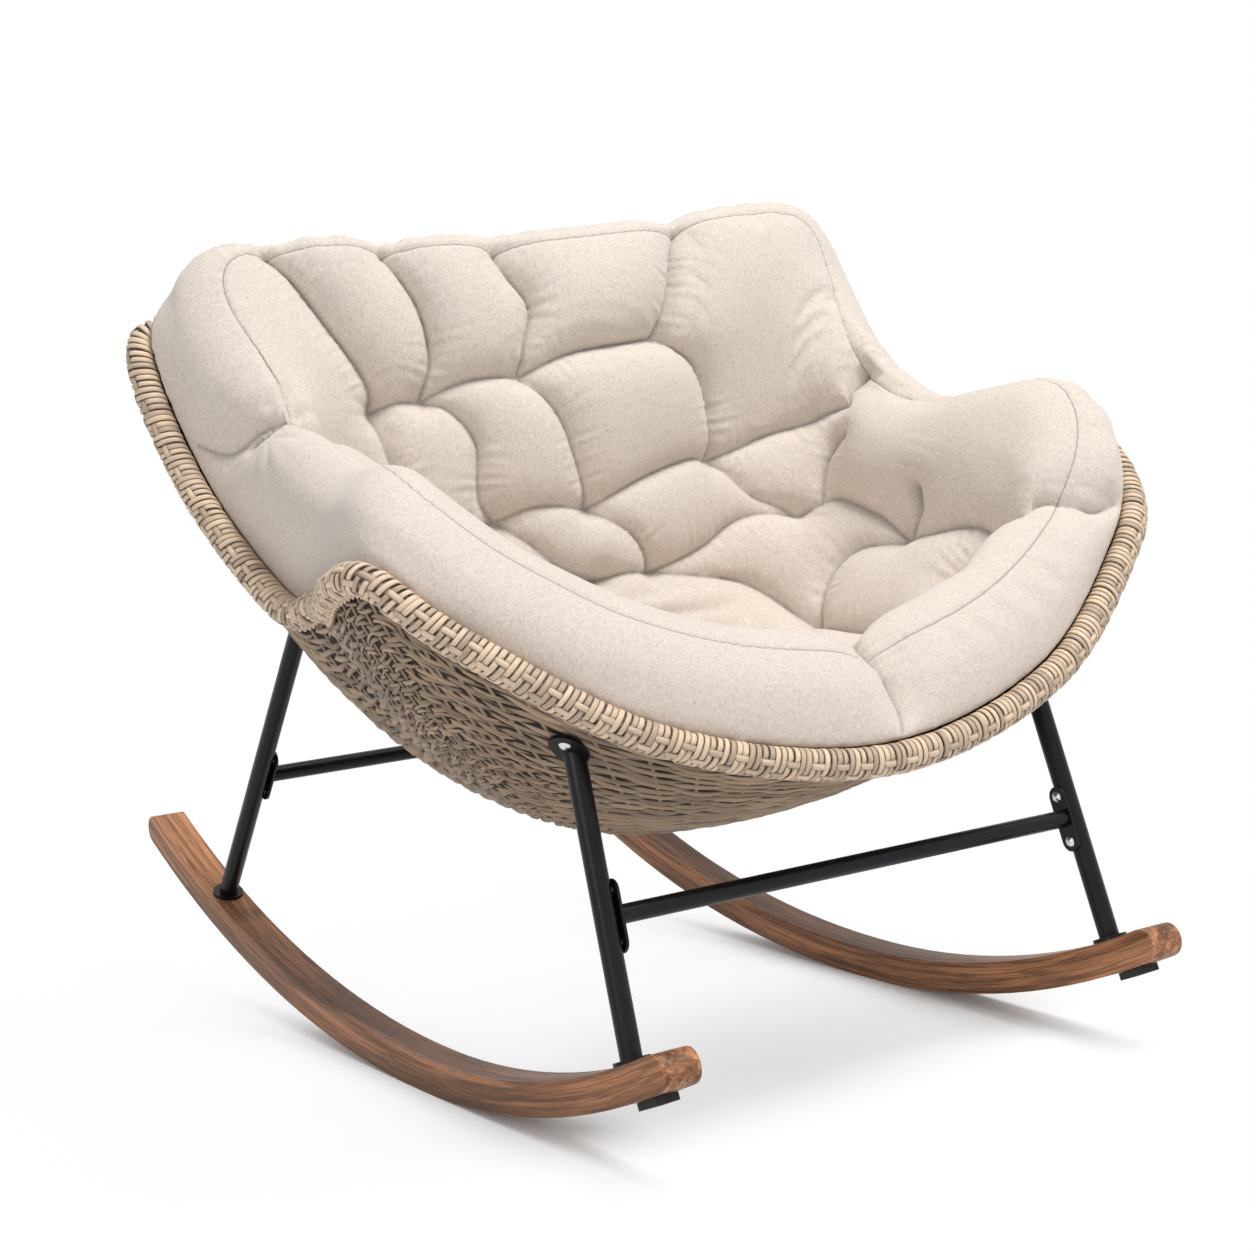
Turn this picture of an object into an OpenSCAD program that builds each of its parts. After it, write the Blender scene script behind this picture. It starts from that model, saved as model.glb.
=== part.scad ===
// Woven egg-shaped garden rocking chair with a loose tufted cushion.
// Units are millimetres. +Z is up, the sitter faces -Y, and the floor is z = 0.

/* [Runners] */
// Outer face of one runner to outer face of the other
runner_track = 661.2; // [620:1:700]
// Width of a runner across the chair
runner_width = 42.2; // [36:0.2:50]
// Height of a runner from sole to top
runner_height = 36; // [30:1:44]
// Radius of the sole behind the resting point
rear_radius = 1523; // [1460:1:1590]
// Radius of the sole ahead of the resting point
front_radius = 1123; // [1085:1:1160]
// Where the sole touches the floor at rest
contact_y = -128; // [-136:1:-120]
// Tip of each runner, ahead of and behind the middle
runner_reach = 601.2; // [590:0.2:612]

/* [Legs] */
// Outside diameter of a leg tube
leg_diameter = 22; // [20:0.5:25]
// Wall of a leg tube
leg_wall = 1.6; // [1.2:0.1:2.4]
// Foot of a front leg along the chair
front_foot_y = -517.7; // [-530:1:-505]
// Foot of a rear leg along the chair
rear_foot_y = 403.9; // [390:1:415]
// Disc welded to each foot
flange_diameter = 37; // [32:1:41]
// Thickness of that disc
flange_thickness = 4; // [3:0.5:6]
// Length of the plate welded to each leg top
tab_length = 52; // [48:1:60]
// Width of that plate
tab_width = 34; // [30:1:40]
// Thickness of that plate
tab_thickness = 4; // [3:0.5:5]

/* [Crossbars] */
// Outside diameter of a crossbar tube
bar_diameter = 19; // [16:0.5:22]
// Wall of a crossbar tube
bar_wall = 1.5; // [1.2:0.1:2.4]
// Height of the front crossbar on its legs
front_bar_z = 239.6; // [225:1:255]
// Height of the rear crossbar on its legs
rear_bar_z = 295; // [280:1:310]
// Length of a round-ended end plate
plate_length = 72; // [66:1:80]
// Width of an end plate
plate_width = 24; // [22:0.5:28]
// Thickness of an end plate
plate_thickness = 3; // [2.5:0.5:4]
// Spacing of the two screws through an end plate
plate_screw_spacing = 50; // [44:1:54]

/* [Bowl] */
// Width of the bowl between its rim centrelines
bowl_width = 992; // [960:1:1010]
// Depth of the bowl from front lip to back
bowl_depth = 648; // [635:1:660]
// Height of the front lip
lip_z = 353; // [346:1:360]
// Height of the side wings of the rim
wing_z = 824; // [810:1:840]
// Height of the bottom of the bowl
bottom_z = 238; // [232:0.2:244]
// Diameter of the hoop inside the rim
hoop_diameter = 19; // [17:0.5:19]
// Diameter over the strands wound round the rim
wrap_diameter = 30; // [29:0.5:32]
// How much lower the rim is on the left arm than on the right one
arm_drop = 64; // [0:2:70]
// Thickness of the woven wall
weave_thickness = 7; // [6:0.5:8]
// Courses of strand from bottom to rim
courses = 15; // [12:1:16]
// How far a strand stands out of the weave
weave_relief = 1.5; // [0.8:0.1:2]
// Diameter of the rods behind the weave
rib_diameter = 7; // [6:0.5:7]

/* [Cushion] */
// Thickness of the cushion in the seat
cushion_thickness = 118; // [100:1:126]
// Height of the cushion above the rim, as a share of the modelled one
cushion_rise = 1; // [0.8:0.05:1.1]
// Depth of a sewn crease
crease_depth = 26; // [15:1:32]
// Reach of the roll on each side of a crease
crease_reach = 66; // [50:1:80]
// Further depth of a sewn tuft
tuft_depth = 12; // [6:1:16]
// Reach of the dimple round a tuft
tuft_reach = 34; // [26:1:44]
// Roundness of the cushion's edge
edge_power = 2.3; // [2:0.1:3]

/* [Fasteners] */
// Diameter of the screws through the end plates
plate_screw = 6; // [5:0.5:6]
// Diameter of the bolts up through the runners
runner_bolt = 8; // [7:0.5:8]
// Diameter of the screws through the woven wall
mount_screw = 6; // [5:0.5:6]
// Diameter of a washer plate behind the weave
mount_plate_diameter = 28; // [24:1:32]

/* [Clearances] */
// Gap between seated pieces
seat_gap = 0.3; // [0.2:0.05:0.5]
// Gap round a screw in its hole
hole_play = 0.4; // [0.3:0.05:0.6]
// Extra gap of the rods behind the weave, for its bends
rod_play = 0.6; // [0.5:0.1:0.7]
// Extra gap of the weave's edge in its slot, for its bends
edge_play = 1; // [0.9:0.1:1.2]
// Gap between the bowl's rods and the cushion
cushion_gap = 1.5; // [1.3:0.1:2]

/* [Hidden] */
$fn = 48;
runner_x = (runner_track - runner_width) / 2;
lip_y = -541.5;
bottom_y = -117;
bowl_sweep = 57;
belly_share = 1.06;
// Rim centreline from the front middle round one side to the back middle,
// as shares of half width, depth and lip-to-wing height, every 15 degrees.
rim_table = [
  [0, 0, 0], [.492, .0427, .104], [.849, .1404, .339], [.978, .215, .472],
  [.985, .315, .525], [.93, .43, .418], [.87, .55, .398], [.868, .7, .385],
  [.941, .8845, .652], [.973, .994, .963], [.835, 1, 1], [.489, .955, .905], [0, .925, .860]];
// Share of the arms' lean at each of the same places, the whole way round.
arm_lean = [0, 0, 0, 0, 1, .5, 0, 0, 0, 0, 0, 0, 0, 0, 0, 0, 0, 0, 0, -.2, -1, 0, 0, 0];
// Height of the cushion over the rim, every 15 degrees the whole way round.
rise_table = [34, 34, 32, 64, 78, 128, 127, 134, 118, 126, 142, 170, 178, 154, 110, 99, 104, 110, 98, 100, 84, 50, 34, 34];
// Share of the cushion's thickness at its edge, every 15 degrees.
edge_table = [.85, .85, .88, .92, .95, 1, 1, 1, .98, .98, .98, 1, 1, 1, .98, .98, .98, 1, 1, 1, .95, .92, .88, .85];
// Sewn creases of the cushion as lists of [angle, reach]: reach 0 is the middle, 1 the rim and 1.25 the edge.
creases = [
  [[210, 1.25], [210, 1.13], [208.5, .99], [210, .94]], [[196.5, 1.25], [196.5, 1.16], [198, 1.03], [201, .95]],
  [[186, 1.25], [184.5, 1.19], [186, 1.11], [187.5, 1.02]], [[166.5, 1.25], [166.5, 1.19], [168, 1.08]],
  [[210, .94], [201, .95], [193.5, 1], [187.5, 1.02], [180, 1.08], [168, 1.08]],
  [[210, .94], [211.5, .87], [214.5, .8], [226, .78], [235.5, .77]],
  [[201, .95], [196.5, .86], [199.5, .75], [198, .7]], [[187.5, 1.02], [184.5, .93], [183, .81], [181.5, .7]],
  [[168, 1.08], [162, .98], [157.5, .87], [154.5, .79]],
  [[235.5, .77], [214, .7], [198, .7], [190.5, .72], [181.5, .7], [171, .76], [162, .79], [154.5, .79]],
  [[154.5, .79], [144, .84], [126, .96], [111, 1.25]], [[154.5, .79], [141, .74], [124.5, .77]],
  [[214.5, .8], [222, .88], [236, .98], [249, 1.25]], [[181.5, .7], [174, .64], [169.5, .58], [168, .55]],
  [[124.5, .77], [145.5, .67], [154.5, .61], [168, .55]], [[235.5, .77], [214.5, .66], [202, .6], [181.5, .54]],
  [[198, .7], [193.5, .64], [189, .58], [181.5, .54]],
  [[100.5, .58], [126, .55], [150, .54], [168, .55], [181.5, .54], [210, .54], [234, .55], [259.5, .58]],
  [[52.5, .54], [25, .47], [0, .45], [335, .47], [307.5, .54]], [[0, .45], [1, .7], [2, .95], [2, 1.25]],
  [[40.5, .89], [33, 1], [31.5, 1.12]], [[117, .84], [114, .95], [103.5, 1.12]], [[34.5, .7], [22, .9], [19, 1]]];
// Creases that both sides have.
side_creases = [
  [[124.5, .77], [109.5, .9], [96, .93], [82.5, .86]], [[82.5, .86], [79.5, .92], [82.5, 1]],
  [[82.5, .86], [64.5, .84], [40.5, .89]], [[40.5, .89], [45, .8], [45, .73], [34.5, .7]],
  [[82.5, .86], [97.5, .82], [103.5, .7], [100.5, .58]], [[100.5, .58], [75, .56], [52.5, .54]],
  [[52.5, .54], [40.5, .62], [34.5, .7]]];
// Tufts, where the creases meet.
tufts = [
  [210, .94], [201, .95], [187.5, 1.02], [168, 1.08], [198, .7], [181.5, .7], [154.5, .79], [168, .55],
  [181.5, .54], [124.5, .77], [82.5, .86], [40.5, .89], [34.5, .7], [100.5, .58], [52.5, .54], [235.5, .77],
  [277.5, .86], [319.5, .89], [325.5, .7], [259.5, .58], [307.5, .54]];
cushion_focus = [0, -190, 715];
// How far the middle of a cell stands above the plain cushion.
crown = 5;
hoop_r = hoop_diameter / 2;
wrap_r = wrap_diameter / 2;
rib_r = rib_diameter / 2;
rib_depth = weave_thickness + seat_gap + rod_play + rib_r;
cushion_depth = rib_depth + rib_r + cushion_gap;
cushion_lift = wrap_r + cushion_gap + 1.2 - cushion_depth;
rim_stations = 72;
weave_stations = rim_stations;
inner_courses = 16;
cushion_stations = 40;
rib_angles = [0, 42, 75, 105, 138, 180, 222, 255, 285, 318];
base_ring_reach = .3;
side_ring_reach = .6;
front_mount = [23.92, .8005];
rear_mount = [156.15, .7995];
tab_offset = 11;
mount_offset = 22;
leg_r = leg_diameter / 2;
// Rounding left at a runner's tip, and the black pad near its front tip.
tip_ease = 0.25;
pad_y = -556;
pad_size = [26, 34, 8];
washer_thickness = 1.6;
bolt_recess = 9;
bolt_head = 5.2;
nut_sleeve = 9;
// Stand-off of a leg's plate from the weave, and depth of the washer plate behind it.
wall_gap = weave_relief + 2 * seat_gap;
inner_top = weave_thickness + 1.6 + seat_gap;
// Room round the hoop, where the weave and the rods stop short of the rim.
hoop_play = 2;
wall_end = 3;
rib_end_gap = 8;
rod_stations = 60;
// Rows of the cushion's skin: 1 is level with the rim and 1.25 the edge.
under_levels = [.12, .26, .4, .54, .68, .8, .9, 1, 1.1, 1.19];
top_levels = [1.23, 1.2, 1.15, 1.09, 1.02, .95, .885, .82, .76, .7, .64, .59, .54, .48, .41, .33, .25, .16, .08];

// ---- small vector helpers ----
function unit(v) = v / norm(v);
function mix(a, b, k) = a + (b - a) * k;
function clamp01(x) = max(0, min(1, x));
function smooth(x) = clamp01(x) * clamp01(x) * (3 - 2 * clamp01(x));
function turn(n) = [0, acos(max(-1, min(1, n.z))), atan2(n.y, n.x)];

// ---- rim and bowl surface ----
// The lean goes into the arms alone, so that the legs meet a bowl that is the same on both sides.
function plain_key(i) =
  let (j = ((i % 24) + 24) % 24, k = j <= 12 ? j : 24 - j, side = j <= 12 ? 1 : -1, r = rim_table[k])
  [side * r.x * bowl_width / 2, lip_y + r.y * bowl_depth, lip_z + r.z * (wing_z - lip_z)];
function rim_key(i) = plain_key(i) + [0, 0, arm_drop / 2 * arm_lean[((i % 24) + 24) % 24]];
function spline(a, b, c, d, k) =
  0.5 * (2 * b + (c - a) * k + (2 * a - 5 * b + 4 * c - d) * k * k + (3 * b - a - 3 * c + d) * k * k * k);
function rim(t) =
  let (u = t / 15, i = floor(u))
  spline(rim_key(i - 1), rim_key(i), rim_key(i + 1), rim_key(i + 2), u - i);
function around(table, t) =
  let (u = (t % 360 + 360) / 15, i = floor(u))
  spline(table[(i - 1) % 24], table[i % 24], table[(i + 1) % 24], table[(i + 2) % 24], u - i);
// Rim with its corners averaged away: the plan the bowl starts from at its bottom.
soft_keys = [for (i = [0:23])
  (plain_key(i - 2) + 2 * plain_key(i - 1) + 3 * plain_key(i) + 2 * plain_key(i + 1) + plain_key(i + 2)) / 9];
function belly(t) =
  let (u = (t % 360 + 360) / 15, i = floor(u), pole = [0, bottom_y, bottom_z],
       p = spline(soft_keys[(i - 1) % 24], soft_keys[i % 24], soft_keys[(i + 1) % 24], soft_keys[(i + 2) % 24], u - i))
  pole + (p - pole) * belly_share;
function bowl(t, s) =
  let (r = mix(belly(t), rim(t), s * s), a = bowl_sweep * s, g = sin(a) / sin(bowl_sweep),
       h = (1 - cos(a)) / (1 - cos(bowl_sweep)))
  [r.x * g, mix(bottom_y, r.y, g), mix(bottom_z, r.z, h)];
// Outward normal of the bowl.
function bowl_normal(t, s) =
  s < .02 ? [0, 0, -1] :
  let (n = unit(cross(bowl(t + .5, s) - bowl(t - .5, s), bowl(t, s + .002) - bowl(t, s - .002))))
  n * (bowl(t, s) - [0, -170, 650]) < 0 ? -n : n;
// The weave moves out to meet the middle of the rim over its last stretch.
function weave_shift(s) = weave_thickness / 2 * smooth((s - .8) / .18);
// Direction down the wall at the rim, square to the rim itself.
function rim_along(t) = unit(rim(t + .5) - rim(t - .5));
function rim_down(t) =
  let (a = rim_along(t), d = bowl(t, .97) - bowl(t, 1))
  unit(d - a * (d * a));
function wall_rate(t) = (bowl(t, .97) - bowl(t, 1)) * rim_down(t) / .03;
function reach_to(t, gap) = 1 - gap / wall_rate(t);
function rim_out(t) = let (e = cross(rim_along(t), rim_down(t))) e * bowl_normal(t, .97) < 0 ? -e : e;
// Edge of the woven wall in the rim's slot: face is 1 outside and -1 inside.
function wall_edge(t, face) = rim(t) + rim_down(t) * (hoop_r + wall_end) + rim_out(t) * face * weave_thickness / 2;

// ---- swept solids ----
// Closed loop of equal sections: rings is a list of point lists.
module loop(rings) {
  n = len(rings);
  m = len(rings[0]);
  points = [for (r = rings) for (p = r) p];
  faces = [for (i = [0:n - 1]) for (j = [0:m - 1]) for (half = [0, 1])
    let (a = i * m + j, b = i * m + (j + 1) % m, c = ((i + 1) % n) * m + (j + 1) % m, d = ((i + 1) % n) * m + j)
    half == 0 ? [a, b, c] : [a, c, d]];
  polyhedron(points, faces, convexity = 10);
}
// Open run of equal sections with flat ends.
module run(rings) {
  n = len(rings);
  m = len(rings[0]);
  points = [for (r = rings) for (p = r) p];
  sides = [for (i = [0:n - 2]) for (j = [0:m - 1]) for (half = [0, 1])
    let (a = i * m + j, b = i * m + (j + 1) % m, c = (i + 1) * m + (j + 1) % m, d = (i + 1) * m + j)
    half == 0 ? [a, b, c] : [a, c, d]];
  start = [for (j = [m - 1:-1:0]) j];
  end = [for (j = [0:m - 1]) (n - 1) * m + j];
  polyhedron(points, concat(sides, [start, end]), convexity = 10);
}
// Skin of revolution-like rings closed by a point at each end.
module skin(rings, first, last) {
  n = len(rings);
  m = len(rings[0]);
  points = concat([for (r = rings) for (p = r) p], [first, last]);
  sides = [for (i = [0:n - 2]) for (j = [0:m - 1]) for (half = [0, 1])
    let (a = i * m + j, b = i * m + (j + 1) % m, c = (i + 1) * m + (j + 1) % m, d = (i + 1) * m + j)
    half == 0 ? [a, b, c] : [a, c, d]];
  cap_a = [for (j = [0:m - 1]) [n * m, (j + 1) % m, j]];
  cap_b = [for (j = [0:m - 1]) [n * m + 1, (n - 1) * m + j, (n - 1) * m + (j + 1) % m]];
  polyhedron(points, concat(sides, cap_a, cap_b), convexity = 10);
}
function rim_section(t, polar) =
  let (a = rim_along(t), d = rim_down(t), e = cross(a, d))
  [for (p = polar) rim(t) + p.x * (cos(p.y) * d + sin(p.y) * e)];

// ---- the runner ----
module sole_sector(radius, side, tip) {
  mid = radius - runner_height / 2;
  sweep = asin((tip - side * contact_y - runner_height / 2 + tip_ease) / mid);
  centre = [contact_y, radius];
  difference() {
    intersection() {
      translate(centre) circle(r = radius, $fn = 360);
      polygon([
        centre,
        centre + 2 * radius * [0, -1],
        centre + 2 * radius * [side * sin(sweep), -cos(sweep)]]);
    }
    translate(centre) circle(r = radius - runner_height, $fn = 360);
  }
  translate(centre + (radius - runner_height / 2) * [side * sin(sweep), -cos(sweep)])
    circle(r = runner_height / 2 - tip_ease);
}
// Frame on the runner's top at a foot: local +Z leaves the wood.
function top_angle(y) =
  let (radius = (y > contact_y ? rear_radius : front_radius) - runner_height)
  asin((y - contact_y) / radius);
function top_point(y) =
  let (radius = (y > contact_y ? rear_radius : front_radius), a = top_angle(y))
  [runner_x, contact_y + (radius - runner_height) * sin(a), radius - (radius - runner_height) * cos(a)];
module at_foot(y) {
  translate(top_point(y)) rotate([top_angle(y), 0, 0]) children();
}
module runner_hole(y) {
  at_foot(y) translate([0, 0, -runner_height - 1]) cylinder(d = runner_bolt + 2 * hole_play, h = runner_height + 3);
  at_foot(y) translate([0, 0, -runner_height - 6]) cylinder(d = runner_bolt * 2.4, h = 6 + bolt_recess);
}
function pad_angle() = -asin((pad_y - contact_y) / front_radius);
module at_pad() {
  translate([runner_x, contact_y - front_radius * sin(pad_angle()), front_radius * (1 - cos(pad_angle()))])
    rotate([-pad_angle(), 0, 0]) children();
}
module runner() {
  difference() {
    translate([runner_x - runner_width / 2, 0, 0])
      rotate([90, 0, 90]) linear_extrude(runner_width) {
        sole_sector(rear_radius, 1, runner_reach);
        sole_sector(front_radius, -1, runner_reach);
      }
    runner_hole(front_foot_y);
    runner_hole(rear_foot_y);
    at_pad() translate([0, 0, -2]) cylinder(d = 4 + 2 * hole_play, h = 16);
  }
}
module runner_bolt_at(y) {
  at_foot(y) translate([0, 0, -runner_height + bolt_recess - 2 * seat_gap - washer_thickness - bolt_head]) {
    cylinder(d = runner_bolt * 1.6, h = bolt_head);
    cylinder(d = runner_bolt, h = runner_height + flange_thickness + 5);
  }
}
module runner_washer_at(y) {
  at_foot(y) translate([0, 0, -runner_height + bolt_recess - seat_gap - washer_thickness]) difference() {
    cylinder(d = runner_bolt * 2.2, h = washer_thickness);
    translate([0, 0, -1]) cylinder(d = runner_bolt + 2 * hole_play, h = washer_thickness + 2);
  }
}

// ---- legs ----
function foot(y) = top_point(y) + flange_thickness * [0, -sin(top_angle(y)), cos(top_angle(y))];
function mount_point(m) = bowl(m.x, m.y);
function mount_normal(m) = bowl_normal(m.x, m.y);
function leg_line(y, m) = unit(mount_point(m) - foot(y));
function lean(d) = [-asin(d.y), atan2(d.x, d.z), 0];
function on_leg(y, m, z) = foot(y) + leg_line(y, m) * (z - foot(y).z) / leg_line(y, m).z;
// Frame on the woven wall: local +Z leaves the bowl, local -X runs up the wall.
module at_wall(m) {
  translate(mount_point(m)) rotate(turn(mount_normal(m))) children();
}
module tab_outline() {
  translate([-tab_offset - (tab_length - tab_width) / 2, 0]) circle(d = tab_width);
  translate([-tab_offset + (tab_length - tab_width) / 2, 0]) circle(d = tab_width);
  translate([-tab_offset, 0]) square([tab_length - tab_width, tab_width], center = true);
}
module leg(y, m, bar_z) {
  d = leg_line(y, m);
  long = norm(mount_point(m) - foot(y));
  difference() {
    union() {
      difference() {
        translate(foot(y) - d * 20) rotate(lean(d)) cylinder(d = leg_diameter, h = long + 40);
        at_foot(y) translate([0, 0, -60 + flange_thickness - .1]) cube([120, 120, 120], center = true);
        at_wall(m) translate([0, 0, -100 + wall_gap + tab_thickness - .1]) cube([200, 200, 200], center = true);
      }
      at_foot(y) translate([0, 0, seat_gap]) cylinder(d = flange_diameter, h = flange_thickness);
      at_wall(m) translate([0, 0, wall_gap]) linear_extrude(tab_thickness) tab_outline();
    }
    difference() {
      translate(foot(y) - d * 20) rotate(lean(d)) cylinder(d = leg_diameter - 2 * leg_wall, h = long + 40);
      at_foot(y) translate([0, 0, -60 + flange_thickness + seat_gap]) cube([120, 120, 120], center = true);
      at_wall(m) translate([0, 0, -100 + wall_gap + tab_thickness]) cube([200, 200, 200], center = true);
    }
    at_foot(y) translate([0, 0, -1]) cylinder(d = runner_bolt + 2 * hole_play, h = flange_thickness + 3);
    at_wall(m) translate([-mount_offset, 0, 0]) cylinder(d = mount_screw + 2 * hole_play, h = 12);
    for (side = [-1, 1]) {
      at_leg(y, m, bar_z) translate([-leg_r - 2, 0, side * plate_screw_spacing / 2])
        rotate([0, 90, 0]) cylinder(d = nut_sleeve + 2 * seat_gap, h = 10);
    }
  }
}
module at_leg(y, m, z) {
  translate(on_leg(y, m, z)) rotate(lean(leg_line(y, m))) children();
}
module nut_sleeve_at(y, m, z, side) {
  at_leg(y, m, z) translate([-leg_r, 0, side * plate_screw_spacing / 2]) rotate([0, 90, 0]) difference() {
    cylinder(d = nut_sleeve, h = 9);
    translate([0, 0, -1]) cylinder(d = plate_screw + 2 * hole_play, h = 12);
  }
}
// Screw through the end plate: the domed head faces the middle of the chair.
module plate_screw_at(y, m, z, side) {
  at_leg(y, m, z) translate([-leg_r - seat_gap - plate_thickness - seat_gap, 0, side * plate_screw_spacing / 2])
    rotate([0, 90, 0]) {
      cylinder(d = plate_screw, h = 14);
      dome(plate_screw * 2, 3.6);
    }
}
module dome(d, h) {
  r = (d * d / 4 + h * h) / (2 * h);
  intersection() {
    translate([0, 0, r - h]) sphere(r = r);
    translate([0, 0, -h / 2 - h]) cube([2 * d, 2 * d, 3 * h], center = true);
  }
}

// ---- crossbars ----
module plate_outline() {
  translate([0, (plate_length - plate_width) / 2]) circle(d = plate_width);
  translate([0, -(plate_length - plate_width) / 2]) circle(d = plate_width);
  square([plate_width, plate_length - plate_width], center = true);
}
module half_crossbar(y, m, z) {
  p = on_leg(y, m, z);
  difference() {
    union() {
      at_leg(y, m, z) translate([-leg_r - seat_gap - plate_thickness, 0, 0])
        rotate([90, 0, 90]) linear_extrude(plate_thickness) plate_outline();
      difference() {
        translate([-1, p.y, p.z]) rotate([0, 90, 0]) cylinder(d = bar_diameter, h = p.x + 1);
        at_leg(y, m, z) translate([100 - leg_r - seat_gap - plate_thickness + .1, 0, 0]) cube(200, center = true);
      }
    }
    difference() {
      translate([-2, p.y, p.z]) rotate([0, 90, 0]) cylinder(d = bar_diameter - 2 * bar_wall, h = p.x + 1);
      at_leg(y, m, z) translate([100 - leg_r - seat_gap - plate_thickness, 0, 0]) cube(200, center = true);
    }
    for (side = [-1, 1]) {
      at_leg(y, m, z) translate([-leg_r - 10, 0, side * plate_screw_spacing / 2])
        rotate([0, 90, 0]) cylinder(d = plate_screw + 2 * hole_play, h = 20);
    }
  }
}

// ---- what holds the bowl to a leg ----
module mount_plate_at(m) {
  at_wall(m) translate([-mount_offset, 0, -inner_top - 2]) difference() {
    cylinder(d = mount_plate_diameter, h = 2);
    translate([0, 0, -1]) cylinder(d = mount_screw + 2 * hole_play, h = 4);
  }
}
module mount_nut_at(m) {
  at_wall(m) translate([-mount_offset, 0, -inner_top - 2 - seat_gap - 3]) difference() {
    cylinder(d = 11.5, h = 3, $fn = 6);
    translate([0, 0, -1]) cylinder(d = mount_screw + 2 * hole_play, h = 5);
  }
}
module mount_screw_at(m) {
  top = wall_gap + tab_thickness + seat_gap;
  at_wall(m) translate([-mount_offset, 0, 0]) {
    translate([0, 0, -inner_top - 2 - seat_gap - 3]) cylinder(d = mount_screw, h = top + inner_top + 5.5);
    translate([0, 0, top]) rotate([180, 0, 0]) dome(mount_screw * 2, 3.6);
  }
}
module mount_hole(m) {
  at_wall(m) translate([-mount_offset, 0, -14]) cylinder(d = mount_screw + 2 * hole_play, h = 20, $fn = 16);
}

// ---- the bowl ----
// One point of the outside of the weave: strands pass over and under the stakes.
function weave_point(i, k) =
  let (t = i * 360 / weave_stations, e = reach_to(t, hoop_r + wall_end), s = e * k / (2 * courses),
       c = (k - k % 2) / 2,
       lift = k % 2 == 0 ? -0.5 : 0.45 + 0.55 * cos(90 * i + 180 * c),
       edge = smooth((2 * courses - k) / 3))
  k == 2 * courses ? wall_edge(t, 1) :
  bowl(t, s) + bowl_normal(t, s) * (weave_shift(s) + weave_relief * lift * edge);
function inside_point(i, k) =
  let (t = i * 360 / weave_stations, e = reach_to(t, hoop_r + wall_end), s = e * k / inner_courses)
  k == inner_courses ? wall_edge(t, -1) :
  bowl(t, s) + bowl_normal(t, s) * (weave_shift(s) - weave_thickness);
module weave_wall() {
  outside = [for (k = [1:2 * courses]) [for (i = [0:weave_stations - 1]) weave_point(i, k)]];
  inside = [for (k = [inner_courses:-1:1]) [for (i = [0:weave_stations - 1]) inside_point(i, k)]];
  pole = bowl(0, 0);
  skin(concat(outside, inside), pole, pole + [0, 0, weave_thickness]);
}
module drilled_wall() {
  difference() {
    weave_wall();
    mirror_pair() {
      mount_hole(front_mount);
      mount_hole(rear_mount);
    }
  }
}
module mirror_pair() {
  children();
  mirror([1, 0, 0]) children();
}
// C-shaped winding: its slot takes the edge of the woven wall.
module winding() {
  half = weave_thickness / 2 + edge_play;
  outer_a = asin(half / wrap_r);
  bore_r = hoop_r + hoop_play;
  inner_a = asin(half / bore_r);
  polar = concat(
    [for (j = [0:9]) [wrap_r, mix(outer_a, 360 - outer_a, j / 9)]],
    [for (j = [0:6]) [bore_r, mix(360 - inner_a, inner_a, j / 6)]]);
  loop([for (i = [0:rim_stations - 1]) rim_section(i * 360 / rim_stations, polar)]);
}
module hoop_rod() {
  polar = [for (j = [0:7]) [hoop_r, 22.5 + 45 * j]];
  loop([for (i = [0:rim_stations - 1]) rim_section(i * 360 / rim_stations, polar)]);
}
function rod_centre(t, s) = bowl(t, s) + bowl_normal(t, s) * (weave_shift(s) - rib_depth);
// Section of a rod at a point, square to its run.
function rod_ring(p, along, n, sides) =
  let (b = unit(cross(along, n)), c = cross(b, along))
  [for (j = [0:sides - 1]) p + rib_r * (cos(360 * j / sides) * b + sin(360 * j / sides) * c)];
module rib(t) {
  last = reach_to(t, wrap_r + rib_end_gap);
  first = .02;
  steps = 15;
  run([for (i = [0:steps])
    let (s = mix(first, last, i / steps))
    rod_ring(rod_centre(t, s), unit(rod_centre(t, s + .01) - rod_centre(t, s - .008)), bowl_normal(t, s), 6)]);
}
module rod_hoop(s) {
  loop([for (i = [0:rod_stations - 1])
    let (t = i * 360 / rod_stations)
    rod_ring(rod_centre(t, s), unit(rod_centre(t + 1, s) - rod_centre(t - 1, s)), bowl_normal(t, s), 6)]);
}

// ---- the cushion ----
function cushion_base(t, u) =
  let (s = min(u, 1), p = bowl(t, s) - bowl_normal(t, s) * (cushion_depth + cushion_lift * smooth((s - .8) / .18)))
  p + [0, 0, cushion_rise * around(rise_table, t) * max(0, u - 1) / .25];
function cushion_in(t, u) = unit(cushion_focus - cushion_base(t, u));
function cushion_half(t, u) = cushion_thickness / 2 * mix(1, around(edge_table, t), min(u, 1) * min(u, 1));
function edge_share(u) = pow(1 - pow(max(0, u - 1) / .25, edge_power), 1 / edge_power);
function under(t, u) = cushion_base(t, u) + cushion_in(t, u) * cushion_half(t, u) * (1 - edge_share(u));
function plain_top(t, u) = cushion_base(t, u) + cushion_in(t, u) * cushion_half(t, u) * (1 + edge_share(u));
tuft_points = [for (q = tufts) plain_top(q.x, q.y)];
all_creases = concat(creases, side_creases, [for (c = side_creases) [for (q = c) [360 - q.x, q.y]]]);
stitches = [for (c = all_creases) for (i = [1:len(c) - 1]) [plain_top(c[i - 1].x, c[i - 1].y), plain_top(c[i].x, c[i].y)]];
function off_stitch(p, s) =
  let (d = s[1] - s[0], k = clamp01((p - s[0]) * d / (d * d)))
  norm(p - s[0] - d * k);
function crease_gap(p) = min([for (s = stitches) off_stitch(p, s)]);
function tuft_gap(p) = min([for (q = tuft_points) norm(p - q)]);
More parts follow.
